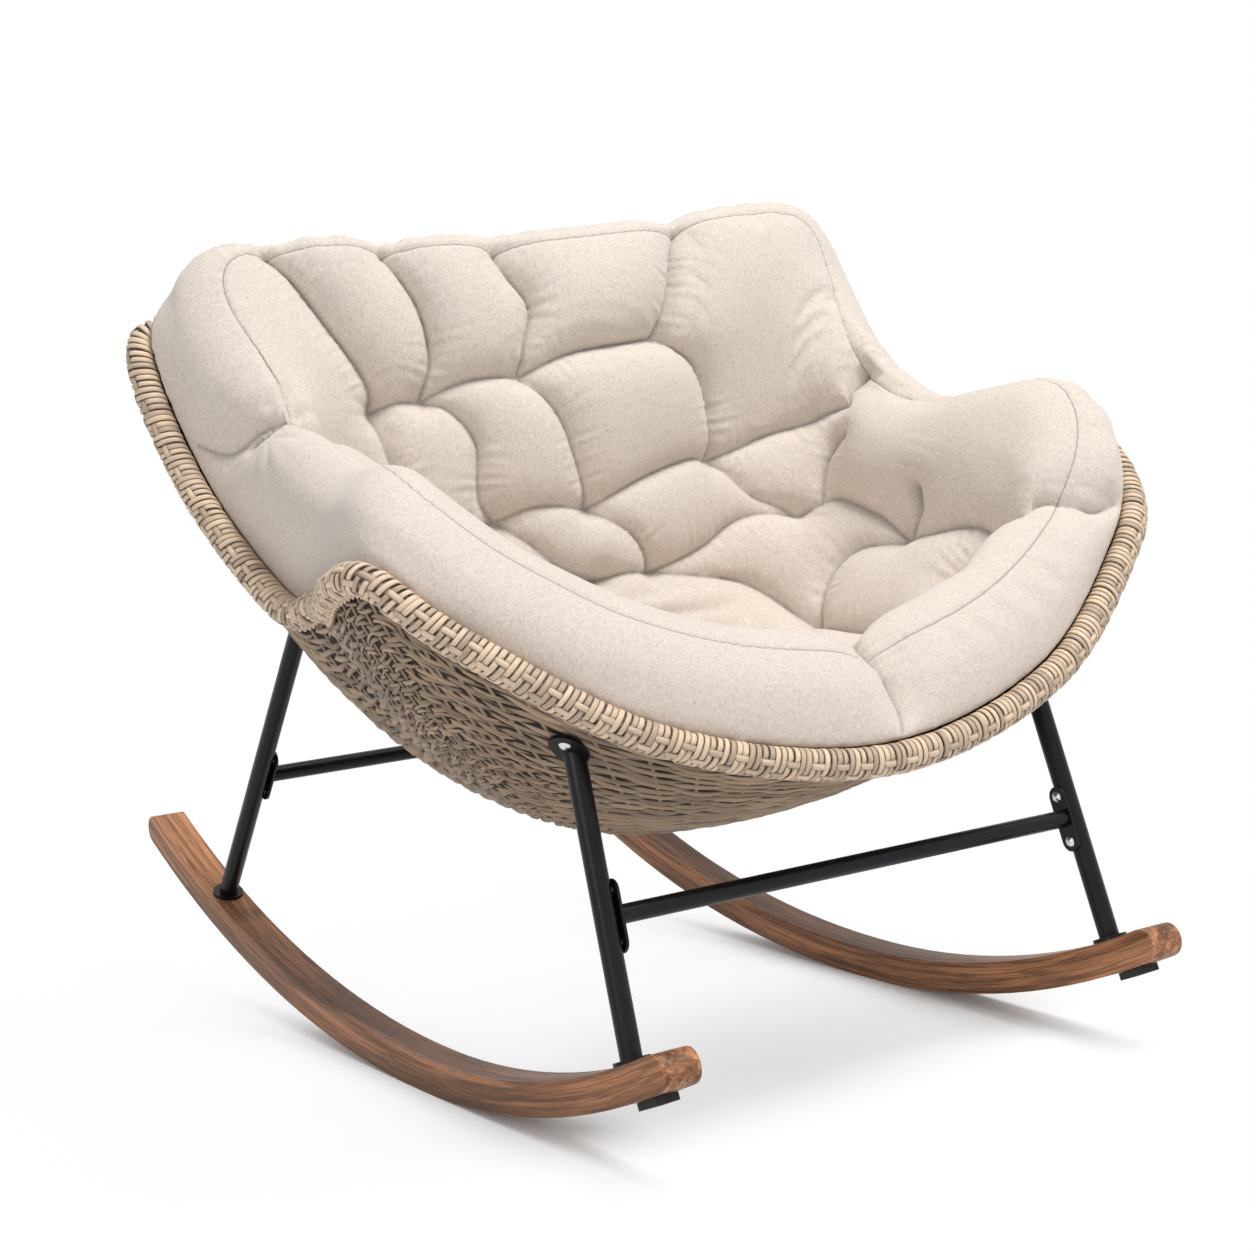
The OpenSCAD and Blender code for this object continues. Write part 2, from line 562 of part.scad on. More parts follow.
function top(t, u) =
  let (p = plain_top(t, u), slack = pow(1 - clamp01(crease_gap(p) / crease_reach), 2.4),
       dip = crease_depth * slack + tuft_depth * exp(-pow(tuft_gap(p) / tuft_reach, 2)))
  p - cushion_in(t, u) * (dip - crown);
module cushion_form() {
  step = 360 / cushion_stations;
  lower = [for (u = under_levels) [for (i = [0:cushion_stations - 1]) under(i * step, u)]];
  nose = [[for (i = [0:cushion_stations - 1]) under(i * step, 1.25)]];
  upper = [for (u = top_levels) [for (i = [0:cushion_stations - 1]) top(i * step, u)]];
  skin(concat(lower, nose, upper), under(0, 0), top(0, 0));
}

// ---- named pieces ----

module runner_right() color([.42, .27, .18]) runner();
module runner_left() color([.42, .27, .18]) mirror([1, 0, 0]) runner();
module leg_front_right() color([.05, .05, .05]) leg(front_foot_y, front_mount, front_bar_z);
module leg_front_left() color([.05, .05, .05]) mirror([1, 0, 0]) leg(front_foot_y, front_mount, front_bar_z);
module leg_rear_right() color([.05, .05, .05]) leg(rear_foot_y, rear_mount, rear_bar_z);
module leg_rear_left() color([.05, .05, .05]) mirror([1, 0, 0]) leg(rear_foot_y, rear_mount, rear_bar_z);
module crossbar_front() color([.05, .05, .05]) mirror_pair() half_crossbar(front_foot_y, front_mount, front_bar_z);
module crossbar_rear() color([.05, .05, .05]) mirror_pair() half_crossbar(rear_foot_y, rear_mount, rear_bar_z);
module plate_screws() color([.8, .8, .8]) mirror_pair() {
  for (side = [-1, 1]) {
    plate_screw_at(front_foot_y, front_mount, front_bar_z, side);
    plate_screw_at(rear_foot_y, rear_mount, rear_bar_z, side);
  }
}
module nut_sleeves() color([.7, .7, .7]) mirror_pair() {
  for (side = [-1, 1]) {
    nut_sleeve_at(front_foot_y, front_mount, front_bar_z, side);
    nut_sleeve_at(rear_foot_y, rear_mount, rear_bar_z, side);
  }
}
module runner_bolts() color([.7, .7, .7]) mirror_pair() {
  runner_bolt_at(front_foot_y);
  runner_bolt_at(rear_foot_y);
}
module runner_washers() color([.7, .7, .7]) mirror_pair() {
  runner_washer_at(front_foot_y);
  runner_washer_at(rear_foot_y);
}
module stop_pads() color([.04, .04, .04]) mirror_pair() {
  at_pad() translate([0, 0, -seat_gap - pad_size.z]) difference() {
    translate([-pad_size.x / 2, -pad_size.y / 2, 0]) cube(pad_size);
    translate([0, 0, -1]) cylinder(d = 4 + 2 * hole_play, h = pad_size.z + 2);
    translate([0, 0, -1]) cylinder(d = 8 + 2 * hole_play, h = 4);
  }
}
module pad_screws() color([.7, .7, .7]) mirror_pair() {
  at_pad() translate([0, 0, -seat_gap - pad_size.z + .5]) {
    cylinder(d = 8, h = 2.2);
    cylinder(d = 4, h = 18);
  }
}
module wicker_shell() color([.55, .47, .37]) drilled_wall();
module rim_wrap() color([.72, .62, .47]) winding();
module rim_hoop() color([.6, .6, .6]) hoop_rod();
module frame_ribs() color([.08, .08, .08]) {
  union() {
    for (t = rib_angles) rib(t);
    rod_hoop(base_ring_reach);
    rod_hoop(side_ring_reach);
  }
}
module mount_screws() color([.8, .8, .8]) mirror_pair() {
  mount_screw_at(front_mount);
  mount_screw_at(rear_mount);
}
module mount_plates() color([.1, .1, .1]) mirror_pair() {
  mount_plate_at(front_mount);
  mount_plate_at(rear_mount);
}
module mount_nuts() color([.7, .7, .7]) mirror_pair() {
  mount_nut_at(front_mount);
  mount_nut_at(rear_mount);
}
module cushion() color([.86, .81, .74]) cushion_form();

runner_left();
runner_right();
leg_front_left();
leg_front_right();
leg_rear_left();
leg_rear_right();
crossbar_front();
crossbar_rear();
plate_screws();
nut_sleeves();
runner_bolts();
runner_washers();
stop_pads();
pad_screws();
wicker_shell();
rim_wrap();
rim_hoop();
frame_ribs();
mount_screws();
mount_plates();
mount_nuts();
cushion();
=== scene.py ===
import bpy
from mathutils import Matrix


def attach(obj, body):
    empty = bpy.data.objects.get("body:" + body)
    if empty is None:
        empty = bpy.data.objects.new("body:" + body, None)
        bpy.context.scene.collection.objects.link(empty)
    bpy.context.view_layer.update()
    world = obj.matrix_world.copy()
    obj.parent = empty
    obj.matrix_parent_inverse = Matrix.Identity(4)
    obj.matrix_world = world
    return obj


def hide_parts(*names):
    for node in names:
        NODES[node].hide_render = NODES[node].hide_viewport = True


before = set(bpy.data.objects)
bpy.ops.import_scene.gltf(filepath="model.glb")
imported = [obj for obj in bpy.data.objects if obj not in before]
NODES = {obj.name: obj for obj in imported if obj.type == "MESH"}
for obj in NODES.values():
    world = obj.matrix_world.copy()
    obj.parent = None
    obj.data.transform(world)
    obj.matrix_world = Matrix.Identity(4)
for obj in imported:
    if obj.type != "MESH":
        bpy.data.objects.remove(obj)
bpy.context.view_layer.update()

import math

import bmesh
import bpy
import numpy as np
from mathutils import Matrix, Vector, bvhtree, kdtree

bl_info = {
    "name": "Woven rocking chair",
    "version": (1, 0, 0),
    "blender": (4, 5, 0),
    "location": "3D View > Sidebar > Chair",
    "description": "Dresses the woven rocking chair: weave, rim binding, cushion, wood and metal",
    "category": "Object",
}

MM = 0.001

# ---------------------------------------------------------------- bowl form, in millimetres, as in the solids
BOWL_WIDTH, BOWL_DEPTH, LIP_Y, LIP_Z, WING_Z = 992.0, 648.0, -541.5, 353.0, 824.0
POLE = np.array([0.0, -117.0, 238.0])
SWEEP = math.radians(57)
BELLY = 1.06
WRAP_R, WALL = 15.0, 7.0
# rim from the front middle to the back middle: across, back and up as shares of the sizes above
RIM_TABLE = np.array([
    [0, 0, 0], [.492, .0427, .104], [.849, .1404, .339], [.978, .215, .472],
    [.985, .315, .525], [.93, .43, .418], [.87, .55, .398], [.868, .7, .385],
    [.941, .8845, .652], [.973, .994, .963], [.835, 1, 1], [.489, .955, .905], [0, .925, .860]])
# one arm lies lower than the other: half of the drop, by key of the rim
ARM_DROP = 64.0
ARM_LEAN = np.zeros(24)
ARM_LEAN[[4, 5, 19, 20]] = 1, .5, -.2, -1
# how far the cushion's nose stands above the rim, and its thickness at the rim as a share of the seat's
RISE_TABLE = np.array([34, 34, 32, 64, 78, 128, 127, 134, 118, 126, 142, 170, 178, 154,
                       110, 99, 104, 110, 98, 100, 84, 50, 34, 34], float)
EDGE_TABLE = np.array([.85, .85, .88, .92, .95, 1, 1, 1, .98, .98, .98, 1, 1, 1,
                       .98, .98, .98, 1, 1, 1, .95, .92, .88, .85])
# the bowl opens towards this point, and the cushion thickens towards its focus
OPENING = np.array([0, -170, 650])
CUSHION_FOCUS = np.array([0.0, -190.0, 715.0])
CUSHION_THICK = 118.0
# gap from the bowl form to the cushion's underside, and what is added to it near the rim
CUSHION_DEPTH = 16.4
CUSHION_STEP = 1.3
# the cushion's reach: 1 is the rim, and its nose lies this far past it
NOSE = .25
EDGE_POWER = 2.3
# how far the cover's nose leans outward, and how much the filling settles there
LEAN_TABLE = np.array([0, 0, 0, 12, 28, 34, 34, 22, -6, -30, -30, -14, 0, 0, -4, -8, -6] + [0] * 7, float)
SETTLE_TABLE = np.array([0, 0, 0, 2, 10, 13, 9, 4] + [0] * 16, float)


def catmull(a, b, c, d, k):
    """Point between b and c on a Catmull-Rom curve."""
    square, cube = 2 * a - 5 * b + 4 * c - d, 3 * b - a - 3 * c + d
    return 0.5 * (2 * b + (c - a) * k + square * k * k + cube * k ** 3)


def spline(keys, t):
    """Closed curve through 24 keys, one every 15 degrees."""
    u = np.asarray(t, float) % 360 / 15
    i = np.floor(u).astype(int)
    k = u - i
    if keys.ndim > 1:
        k = k[..., None]
    return catmull(*(keys[(i + j) % 24] for j in (-1, 0, 1, 2)), k)


def rim_keys():
    """Rim points every 15 degrees from the front middle, the second half mirrored."""
    keys = []
    for j in range(24):
        across, back, up = RIM_TABLE[j if j <= 12 else 24 - j]
        side = 1 if j <= 12 else -1
        x, y, z = side * across * BOWL_WIDTH / 2, LIP_Y + back * BOWL_DEPTH, LIP_Z + up * (WING_Z - LIP_Z)
        keys.append([x, y, z])
    return np.array(keys)


# the bowl's form follows the rim near it, and further down a softer and wider curve
PLAIN_KEYS = rim_keys()
RIM_KEYS = PLAIN_KEYS + np.outer(ARM_LEAN, [0, 0, ARM_DROP / 2])
SOFT_KEYS = sum(w * np.roll(PLAIN_KEYS, 2 - j, 0) for j, w in enumerate((1, 2, 3, 2, 1))) / 9
BELLY_KEYS = POLE + (SOFT_KEYS - POLE) * BELLY


def rim(t):
    """Point of the rim's centreline at an angle."""
    return spline(RIM_KEYS, t)


def bowl(t, s):
    """Point of the bowl form: t is the angle round it, and s runs from 0 at the bottom to 1 at the rim."""
    t, s = np.broadcast_arrays(np.asarray(t, float), np.asarray(s, float))
    inner, outer = spline(BELLY_KEYS, t), spline(RIM_KEYS, t)
    r = inner + (outer - inner) * (s * s)[..., None]
    g = (np.sin(SWEEP * s) / math.sin(SWEEP))[..., None]
    h = ((1 - np.cos(SWEEP * s)) / (1 - math.cos(SWEEP)))[..., None]
    return POLE + (r - POLE) * np.concatenate([g, g, h], -1)


def unit(v):
    return v / np.maximum(np.linalg.norm(v, axis=-1, keepdims=True), 1e-9)


def bowl_normal(t, s):
    """Outward normal of the bowl."""
    t, s = np.broadcast_arrays(np.asarray(t, float), np.maximum(np.asarray(s, float), .004))
    n = unit(np.cross(bowl(t + .5, s) - bowl(t - .5, s), bowl(t, s) - bowl(t, s - .003)))
    away = np.sum(n * (bowl(t, s) - OPENING), -1, keepdims=True)
    return np.where(away < 0, -n, n)


def smooth(x):
    x = np.clip(x, 0, 1)
    return x * x * (3 - 2 * x)


def near_rim(s):
    return smooth((s - .8) / .18)


def wall_shift(s):
    """Outward shift of the wall, which ends in the middle of the hoop."""
    return WALL / 2 * near_rim(s)


def rim_frame(t):
    """Along the rim, down the wall and outward at the rim."""
    along = unit(rim(np.asarray(t) + .5) - rim(np.asarray(t) - .5))
    down = bowl(t, .97) - bowl(t, 1.0)
    down = unit(down - along * np.sum(down * along, -1, keepdims=True))
    out = np.cross(along, down)
    n = bowl_normal(t, 1.0)
    out = out * np.sign(np.sum(out * n, -1, keepdims=True))
    return along, down, out


def reach_to(t, gap):
    """How far up the bowl to go to end this far short of the rim's centreline."""
    _, down, _ = rim_frame(t)
    rate = np.sum((bowl(t, .97) - bowl(t, 1.0)) * down, -1) / .03
    return 1 - gap / rate


# ---------------------------------------------------------------- mesh making
def keep_at_points(mesh, name, values):
    """Keeps a number, or a vector, at each point of a mesh."""
    kind, key = ("FLOAT_VECTOR", "vector") if values.ndim > 1 else ("FLOAT", "value")
    mesh.attributes.new(name, kind, "POINT").data.foreach_set(key, values.astype(np.float32).ravel())


def take_from_points(mesh, name):
    """Reads what was kept at a mesh's points, and drops it from the mesh."""
    layer = mesh.attributes[name]
    width, key = (3, "vector") if layer.data_type == "FLOAT_VECTOR" else (1, "value")
    values = np.empty((len(mesh.vertices), width), np.float32)
    layer.data.foreach_get(key, values.ravel())
    mesh.attributes.remove(layer)
    return values if width > 1 else values[:, 0]


def finish_mesh(mesh, material, sharp_angle=None):
    """Gives a mesh its one material and smooth faces, with edges kept sharp above an angle in degrees."""
    mesh.materials.clear()
    mesh.materials.append(material)
    mesh.polygons.foreach_set("use_smooth", np.ones(len(mesh.polygons), bool))
    if sharp_angle:
        mesh.set_sharp_from_angle(angle=math.radians(sharp_angle))


def link_piece(name, mesh):
    """Puts a mesh into the scene as a piece."""
    piece = bpy.data.objects.new(name, mesh)
    bpy.context.scene.collection.objects.link(piece)
    return piece


class MeshBin:
    """Collects grids of points as quads, with a few numbers kept at each point.

    A number may be one for the whole grid, a list with one for each row, or a table."""

    def __init__(self, *names):
        self.points, self.quads, self.count = [], [], 0
        self.facts = {name: [] for name in names}

    def grid(self, points, wrap_rows=False, wrap_cols=False, **facts):
        rows, cols = points.shape[:2]
        index = np.arange(rows * cols).reshape(rows, cols) + self.count
        low = index if wrap_rows else index[:-1]
        high = np.roll(index, -1, 0) if wrap_rows else index[1:]
        if wrap_cols:
            a, b, c, d = low, np.roll(low, -1, 1), np.roll(high, -1, 1), high
        else:
            a, b, c, d = low[:, :-1], low[:, 1:], high[:, 1:], high[:, :-1]
        self.quads.append(np.stack([a, b, c, d], -1).reshape(-1, 4))
        self.points.append(points.reshape(-1, 3))
        for name, kept in self.facts.items():
            fact = np.asarray(facts[name], float)
            if fact.ndim == 1:
                fact = fact[:, None]
            kept.append(np.broadcast_to(fact, (rows, cols)).reshape(-1))
        self.count += rows * cols

    def object(self, name, material):
        points = np.concatenate(self.points) * MM
        quads = np.concatenate(self.quads)
        mesh = bpy.data.meshes.new(name)
        mesh.vertices.add(len(points))
        mesh.vertices.foreach_set("co", points.astype(np.float32).ravel())
        mesh.loops.add(quads.size)
        mesh.loops.foreach_set("vertex_index", quads.astype(np.int32).ravel())
        mesh.polygons.add(len(quads))
        mesh.polygons.foreach_set("loop_start", np.arange(0, quads.size, 4, dtype=np.int32))
        mesh.update(calc_edges=True)
        mesh.validate()
        for fact, kept in self.facts.items():
            keep_at_points(mesh, fact, np.concatenate(kept))
        finish_mesh(mesh, material)
        return link_piece(name, mesh)


def settle(obj, body, slot, *nodes):
    """Gives a finished piece its body and hides the solids that it stands for; the slot is not used."""
    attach(obj, body)
    if nodes:
        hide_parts(*nodes)
    return obj


# ---------------------------------------------------------------- shader maths
class Value:
    """A node socket that takes part in plain arithmetic."""

    def __init__(self, shader, socket):
        self.shader, self.socket = shader, socket

    def maths(self, operation, *others):
        return self.shader.node("ShaderNodeMath", {"operation": operation}, dict(enumerate((self,) + others)))

    def __add__(self, other):
        return self.maths("ADD", other)

    def __sub__(self, other):
        return self.maths("SUBTRACT", other)

    def __rsub__(self, other):
        return self.shader.node("ShaderNodeMath", {"operation": "SUBTRACT"}, {0: other, 1: self})

    def __mul__(self, other):
        return self.maths("MULTIPLY", other)

    def __pow__(self, other):
        return self.maths("POWER", other)

    __radd__ = __add__
    __rmul__ = __mul__


class Shader:
    """The nodes of a new material, or of a world."""

    def __init__(self, name, owner=None):
        self.owner = owner or bpy.data.materials.new(name)
        self.owner.use_nodes = True
        self.tree = self.owner.node_tree
        self.tree.nodes.clear()

    def node(self, kind, settings=None, inputs=None, out=0):
        made = self.tree.nodes.new(kind)
        for key, value in (settings or {}).items():
            if key == "stops":
                ramp = made.color_ramp
                while len(ramp.elements) < len(value):
                    ramp.elements.new(.5)
                for element, (place, colour) in zip(ramp.elements, value):
                    element.position = place
                    element.color = (*colour, 1)
            else:
                setattr(made, key, value)
        for key, value in (inputs or {}).items():
            if isinstance(value, Value):
                self.tree.links.new(value.socket, made.inputs[key])
            else:
                made.inputs[key].default_value = value
        return Value(self, made.outputs[out]) if len(made.outputs) else None

    def place(self):
        return self.node("ShaderNodeTexCoord", out="Object")

    def fact(self, name):
        return self.node("ShaderNodeAttribute", {"attribute_name": name}, out="Fac")

    def scaled(self, vector, by):
        return self.node("ShaderNodeVectorMath", {"operation": "MULTIPLY"}, {0: vector, 1: by})

    def vector(self, x, y, z):
        return self.node("ShaderNodeCombineXYZ", None, {0: x, 1: y, 2: z})

    def noise(self, vector, scale, detail=3.0, rough=.5):
        return self.node("ShaderNodeTexNoise", None,
                         {"Vector": vector, "Scale": scale, "Detail": detail, "Roughness": rough}, "Fac")

    def ramp(self, value, stops):
        return self.node("ShaderNodeValToRGB", {"stops": stops}, {0: value}, "Color")

    def span(self, value, low, high, to_low=0.0, to_high=1.0):
        return self.node("ShaderNodeMapRange", None, {0: value, 1: low, 2: high, 3: to_low, 4: to_high})

    def blend(self, factor, a, b):
        return self.node("ShaderNodeMix", {"data_type": "RGBA"}, {0: factor, 6: a, 7: b}, 2)

    def bump(self, height, strength, distance):
        inputs = {"Height": height, "Strength": strength, "Distance": distance}
        return self.node("ShaderNodeBump", None, inputs, "Normal")

    def mix(self, factor, a, b):
        return self.node("ShaderNodeMixShader", None, {0: factor, 1: a, 2: b})

    def seen(self):
        """1 for rays from the camera, a mirror or glass, and 0 for rays that only carry light."""
        camera = self.node("ShaderNodeLightPath", out="Is Camera Ray")
        rays = camera.socket.node.outputs
        for ray in ("Is Glossy Ray", "Is Transmission Ray"):
            camera = camera.maths("MAXIMUM", Value(self, rays[ray]))
        return camera

    def surface(self, **inputs):
        named = {key.replace("_", " "): value for key, value in inputs.items()}
        shader = self.node("ShaderNodeBsdfPrincipled", None, named, "BSDF")
        self.node("ShaderNodeOutputMaterial", None, {"Surface": shader})
        return self.owner


def tint(colour, by):
    """Colour made darker or lighter by a factor, for a ramp."""
    return tuple(min(1, c * by) for c in colour)


def rgb(colour, by=1.0):
    """The same with its alpha, for a socket."""
    return tint(colour, by) + (1.0,)


# a runner's floor contact and the radii of its sole, in metres, as in the solids
CONTACT_Y, REAR_RADIUS, FRONT_RADIUS = -.128, 1.523, 1.123


def walnut(name, dark, light):
    """Oiled wood whose grain follows the runner's bend."""
    m = Shader(name)
    split = m.node("ShaderNodeSeparateXYZ", None, {0: m.place()})
    x, y, z = (Value(m, split.socket.node.outputs[i]) for i in range(3))
    from_contact = y - CONTACT_Y
    rear = y.maths("GREATER_THAN", CONTACT_Y)
    radius = rear * (REAR_RADIUS - FRONT_RADIUS) + FRONT_RADIUS
    up = radius - z
    reach = (from_contact * from_contact + up * up) ** .5
    depth = radius - reach
    along = from_contact.maths("ARCTAN2", up) * radius
    skew = along + depth * 2.2
    broad = m.noise(m.vector(skew * 2.2, depth * 45, x * 40), 1.0, 4, .6)
    fine = m.noise(m.vector(skew * 5, depth * 260, x * 230), 1.0, 5, .65)
    figure = m.noise(m.vector(skew * 3.4, depth * 110, x * 90), 1.0, 3, .5)
    pores = m.span(m.noise(m.vector(skew * 34, depth * 900, x * 800), 1.0, 2, .5), .56, .7)
    mixed = broad * .42 + fine * .3 + figure * .28
    mid = tuple((a + b) / 2 for a, b in zip(dark, light))
    colour = m.ramp(mixed, [(.42, dark), (.485, mid), (.535, light), (.6, tint(light, 1.45))])
    lines = m.span((figure - .5).maths("ABSOLUTE"), .012, .04, 1.0, 0.0)
    colour = m.blend(lines * .5, colour, rgb(dark, .6))
    colour = m.blend(pores * .55, colour, rgb(dark, .45))
    rough = m.span(fine, .3, .7, .38, .54)
    normal = m.bump(fine - pores * .5, .22, .0006)
    return m.surface(Base_Color=colour, Roughness=rough, Normal=normal, Specular_IOR_Level=.22)


def powder_coat(name, colour, rough):
    """Baked powder finish with its slight pebble."""
    m = Shader(name)
    place = m.place()
    pebble = m.noise(place, 900.0, 2)
    cloud = m.noise(place, 22.0, 4)
    tone = m.blend(m.span(cloud, .3, .75), rgb(colour), rgb(tuple(c * 1.6 + .001 for c in colour)))
    dust = m.span(m.noise(place, 160.0, 6, .7), .62, .8)
    tone = m.blend(dust * .06, tone, (.12, .11, .10, 1))
    return m.surface(Base_Color=tone, Roughness=m.span(cloud, .3, .7, rough - .05, rough + .08),
                     Normal=m.bump(pebble, .12, .0003), Specular_IOR_Level=.22)


def strand_finish(name, deep, base, pale, streak, painted_side_shade, painted_dive_shade):
    """Round fibre strand: lengthwise grooves, a tone for each run, and painted shade at its sides and where
    it dives.
    """
    m = Shader(name)
    tone, along, across = m.fact("tone"), m.fact("along"), m.fact("across")
    grooves = m.noise(m.vector(along * 28, across * 5.5, tone * 31), 1.0, 4, .62)
    hairs = m.noise(m.vector(along * 70, across * 17, tone * 57), 1.0, 3, .6)
    patches = m.noise(m.vector(along * 11, tone * 13, across * .6), 1.0, 3, .5)
    level = tone * .42 + patches * .34 + grooves * .36
    colour = m.ramp(level, [(.26, deep), (.52, base), (.82, pale)])
    colour = m.blend(m.span(hairs, .5, .72) * .5, colour, rgb(streak))
    # painted shade: the sides darken as if shaded by the neighbouring strands, and the lengths that dive
    # under darken too
    side = m.span(across.maths("ABSOLUTE"), .66, 1.0) * painted_side_shade
    dive_shade_mask = m.span(m.fact("depth"), .4, 1.0) * painted_dive_shade
    colour = m.blend(side.maths("MAXIMUM", dive_shade_mask), colour, rgb(deep, .2))
    normal = m.bump(grooves * .7 + hairs * .4, .55, .0009)
    return m.surface(Base_Color=colour, Roughness=m.span(grooves, .3, .7, .4, .62), Normal=normal)


def cloth(name, base, shade, thread):
    """Heathered upholstery cloth: slubs both ways, seam line, and painted shade in the sewn creases."""
    m = Shader(name)
    place = m.place()
    warp = m.noise(m.scaled(place, (1.0, 1.0, .3)), 760.0, 4, .7)
    weft = m.noise(m.scaled(place, (.3, .4, 1.0)), 760.0, 4, .7)
    slub = m.noise(m.scaled(place, (1.0, 1.0, .5)), 330.0, 4, .7)
    cloud = m.noise(place, 9.0, 4, .5)
    level = warp * .36 + weft * .36 + slub * .28
    between = tuple((a + 2 * b) / 3 for a, b in zip(shade, base))
    colour = m.ramp(level, [(.38, shade), (.47, between), (.55, base), (.66, tint(base, 1.16))])
    colour = m.blend(m.span(cloud, .35, .75) * .12, colour, rgb(base, .88))
    fleck = m.span(m.noise(place, 620.0, 2, .5), .63, .72)
    colour = m.blend(fleck * .35, colour, rgb(thread))
    crease, seam = m.fact("crease"), m.fact("seam")
    # painted shade: darker within 6 mm of a crease, where shade falls
    fold = m.span(crease, 0.0, 6.0, 1.0, 0.0)
    colour = m.blend(fold * fold * .5, colour, rgb(shade, .42))
    from_seam = seam.maths("ABSOLUTE")
    line = m.span(from_seam, .3, 1.3, 1.0, 0.0)
    stitch = m.span(from_seam, 0.0, 4.0, 1.0, 0.0)
    colour = m.blend(line * .5, colour, rgb(shade, .3))
    normal = m.bump(level - line * .8 - stitch * .5, .5, .0012)
    return m.surface(Base_Color=colour, Roughness=m.span(slub, .3, .7, .86, .97), Normal=normal,
                     Sheen_Weight=.25, Sheen_Roughness=.5, Specular_IOR_Level=.2)


def bright_metal(name, colour, rough):
    """Plated screw with turning marks."""
    m = Shader(name)
    place = m.place()
    marks = m.noise(m.scaled(place, (1.0, 1.0, 6.0)), 500.0, 3)
    tone = m.blend(m.span(marks, .35, .7) * .3, rgb(colour), rgb(colour, .6))
    return m.surface(Base_Color=tone, Roughness=m.span(marks, .3, .7, rough, rough + .15), Metallic=1.0,
                     Normal=m.bump(marks, .1, .0003))


def pad_rubber(name):
    """Dull black rubber."""
    m = Shader(name)
    grain = m.noise(m.place(), 700.0, 3, .6)
    tone = m.blend(m.span(grain, .4, .7), (.012, .012, .012, 1), (.04, .04, .038, 1))
    rough = m.span(grain, .3, .7, .7, .85)
    return m.surface(Base_Color=tone, Roughness=rough, Normal=m.bump(grain, .3, .0006))


# ---------------------------------------------------------------- settings that a user would change
def size_setting(name, description, default, low, high):
    return bpy.props.FloatProperty(name=name, description=description, default=default, min=low, max=high,
                                   subtype="DISTANCE", unit="LENGTH")


def colour_setting(name, description, default):
    return bpy.props.FloatVectorProperty(name=name, description=description, default=default, min=0, max=1,
                                         subtype="COLOR")


class ChairWeave(bpy.types.PropertyGroup):
    courses: bpy.props.IntProperty(name="Courses", description="Strands from the bottom to the rim",
                                   default=54, min=30, max=90)
    strand_width: size_setting("Strand width", "Width of a bowl strand", .0084, .004, .012)
    strand_thick: size_setting("Strand thickness", "Thickness of a bowl strand", .0044, .001, .005)
    strand_colour: colour_setting("Strand colour", "Middle tone of the bowl strands", (.325, .228, .148))
    rim_colour: colour_setting("Rim colour", "Middle tone of the rim binding", (.61, .465, .335))
    wrap_pitch: size_setting("Binding pitch", "Spacing of the turns round the rim", .0070, .005, .014)


class ChairCushion(bpy.types.PropertyGroup):
    cloth_colour: colour_setting("Cloth colour", "Main tone of the cover", (.71, .632, .56))
    crease_depth: size_setting("Crease depth", "Depth of the creases between tufts", .027, .005, .04)
    net: size_setting("Net", "Size of the faces before they are refined", .0058, .004, .02)
    fill: bpy.props.FloatProperty(name="Fill", description="How tightly the cover is filled",
                                  default=.7, min=0, max=1, subtype="FACTOR")


class ChairTimber(bpy.types.PropertyGroup):
    wood_colour: colour_setting("Wood colour", "Light tone of the wood", (.43, .195, .096))
    edge_round: size_setting("Edge rounding", "Rounding of the runner's edges", .0032, .0005, .006)
    metal_colour: colour_setting("Metal colour", "Colour of the tubes", (.005, .005, .0055))


# ---------------------------------------------------------------- weave
# a flattened strand's section, across and outward in shares of its half sizes, rounder outside than inside
STRAND = [(-1, 0), (-.62, .82), (0, 1.1), (.62, .82), (1, 0), (.6, -.8), (-.6, -.8)]
STRAND_ACROSS = np.array([[x for x, _ in STRAND]])
STAKES = 84
# points of a stake from its start to the rim
STAKE_ROWS = 34
STAKE_HALF_WIDTH, STAKE_HALF_THICK = 2.5, 1.6
# points of a strand from one stake to the next
STEPS = 6
# the strands' middle lies this far inside the bowl form, and swings this far over and under the stakes
SINK, SWING = 3.6, 1.5
# how much further in the second strand of a pair dives where it joins the first
TUCK = 2.2
COIL_TURNS, COIL_STEPS = 5, 40
# where the painted-shade sheet's two faces lie, outward from the bowl form
SHADE_SHEET_OUTSIDE, SHADE_SHEET_INSIDE = -3.0, -4.4


def ripple(rng, count, most, size):
    """Smooth closed wobble along a strand, with this many waves round the bowl at most."""
    x = np.arange(count) / count * 2 * np.pi
    out = np.zeros(count)
    for _ in range(7):
        share, turns = rng.normal(), int(rng.integers(max(1, most // 3), most + 1))
        out += share * np.sin(x * turns + rng.uniform(0, 6.3))
    return out * size / 2.6


def stakes_at(share):
    """Stakes side by side at a height: only some of them go further down."""
    return STAKES // (1 if share > .56 else 2 if share > .28 else 3 if share > .15 else 6)


def stake_start(i):
    """Height from which a stake goes up to the rim."""
    return .02 if i % 6 == 0 else .15 if i % 3 == 0 else .29 if i % 2 == 0 else .57


def strand_points(centre, across, out, half_width, half_thick, section=STRAND):
    """Rows of a strand's section along its path."""
    half_width, half_thick = (np.broadcast_to(half, len(centre)) for half in (half_width, half_thick))
    return np.stack([centre + across * (a * half_width)[:, None] + out * (b * half_thick)[:, None]
                     for a, b in section], 1)


def wall_frame(t, s):
    """Outward and up the wall."""
    return bowl_normal(t, s), unit(bowl(t, s + .004) - bowl(t, s - .004))


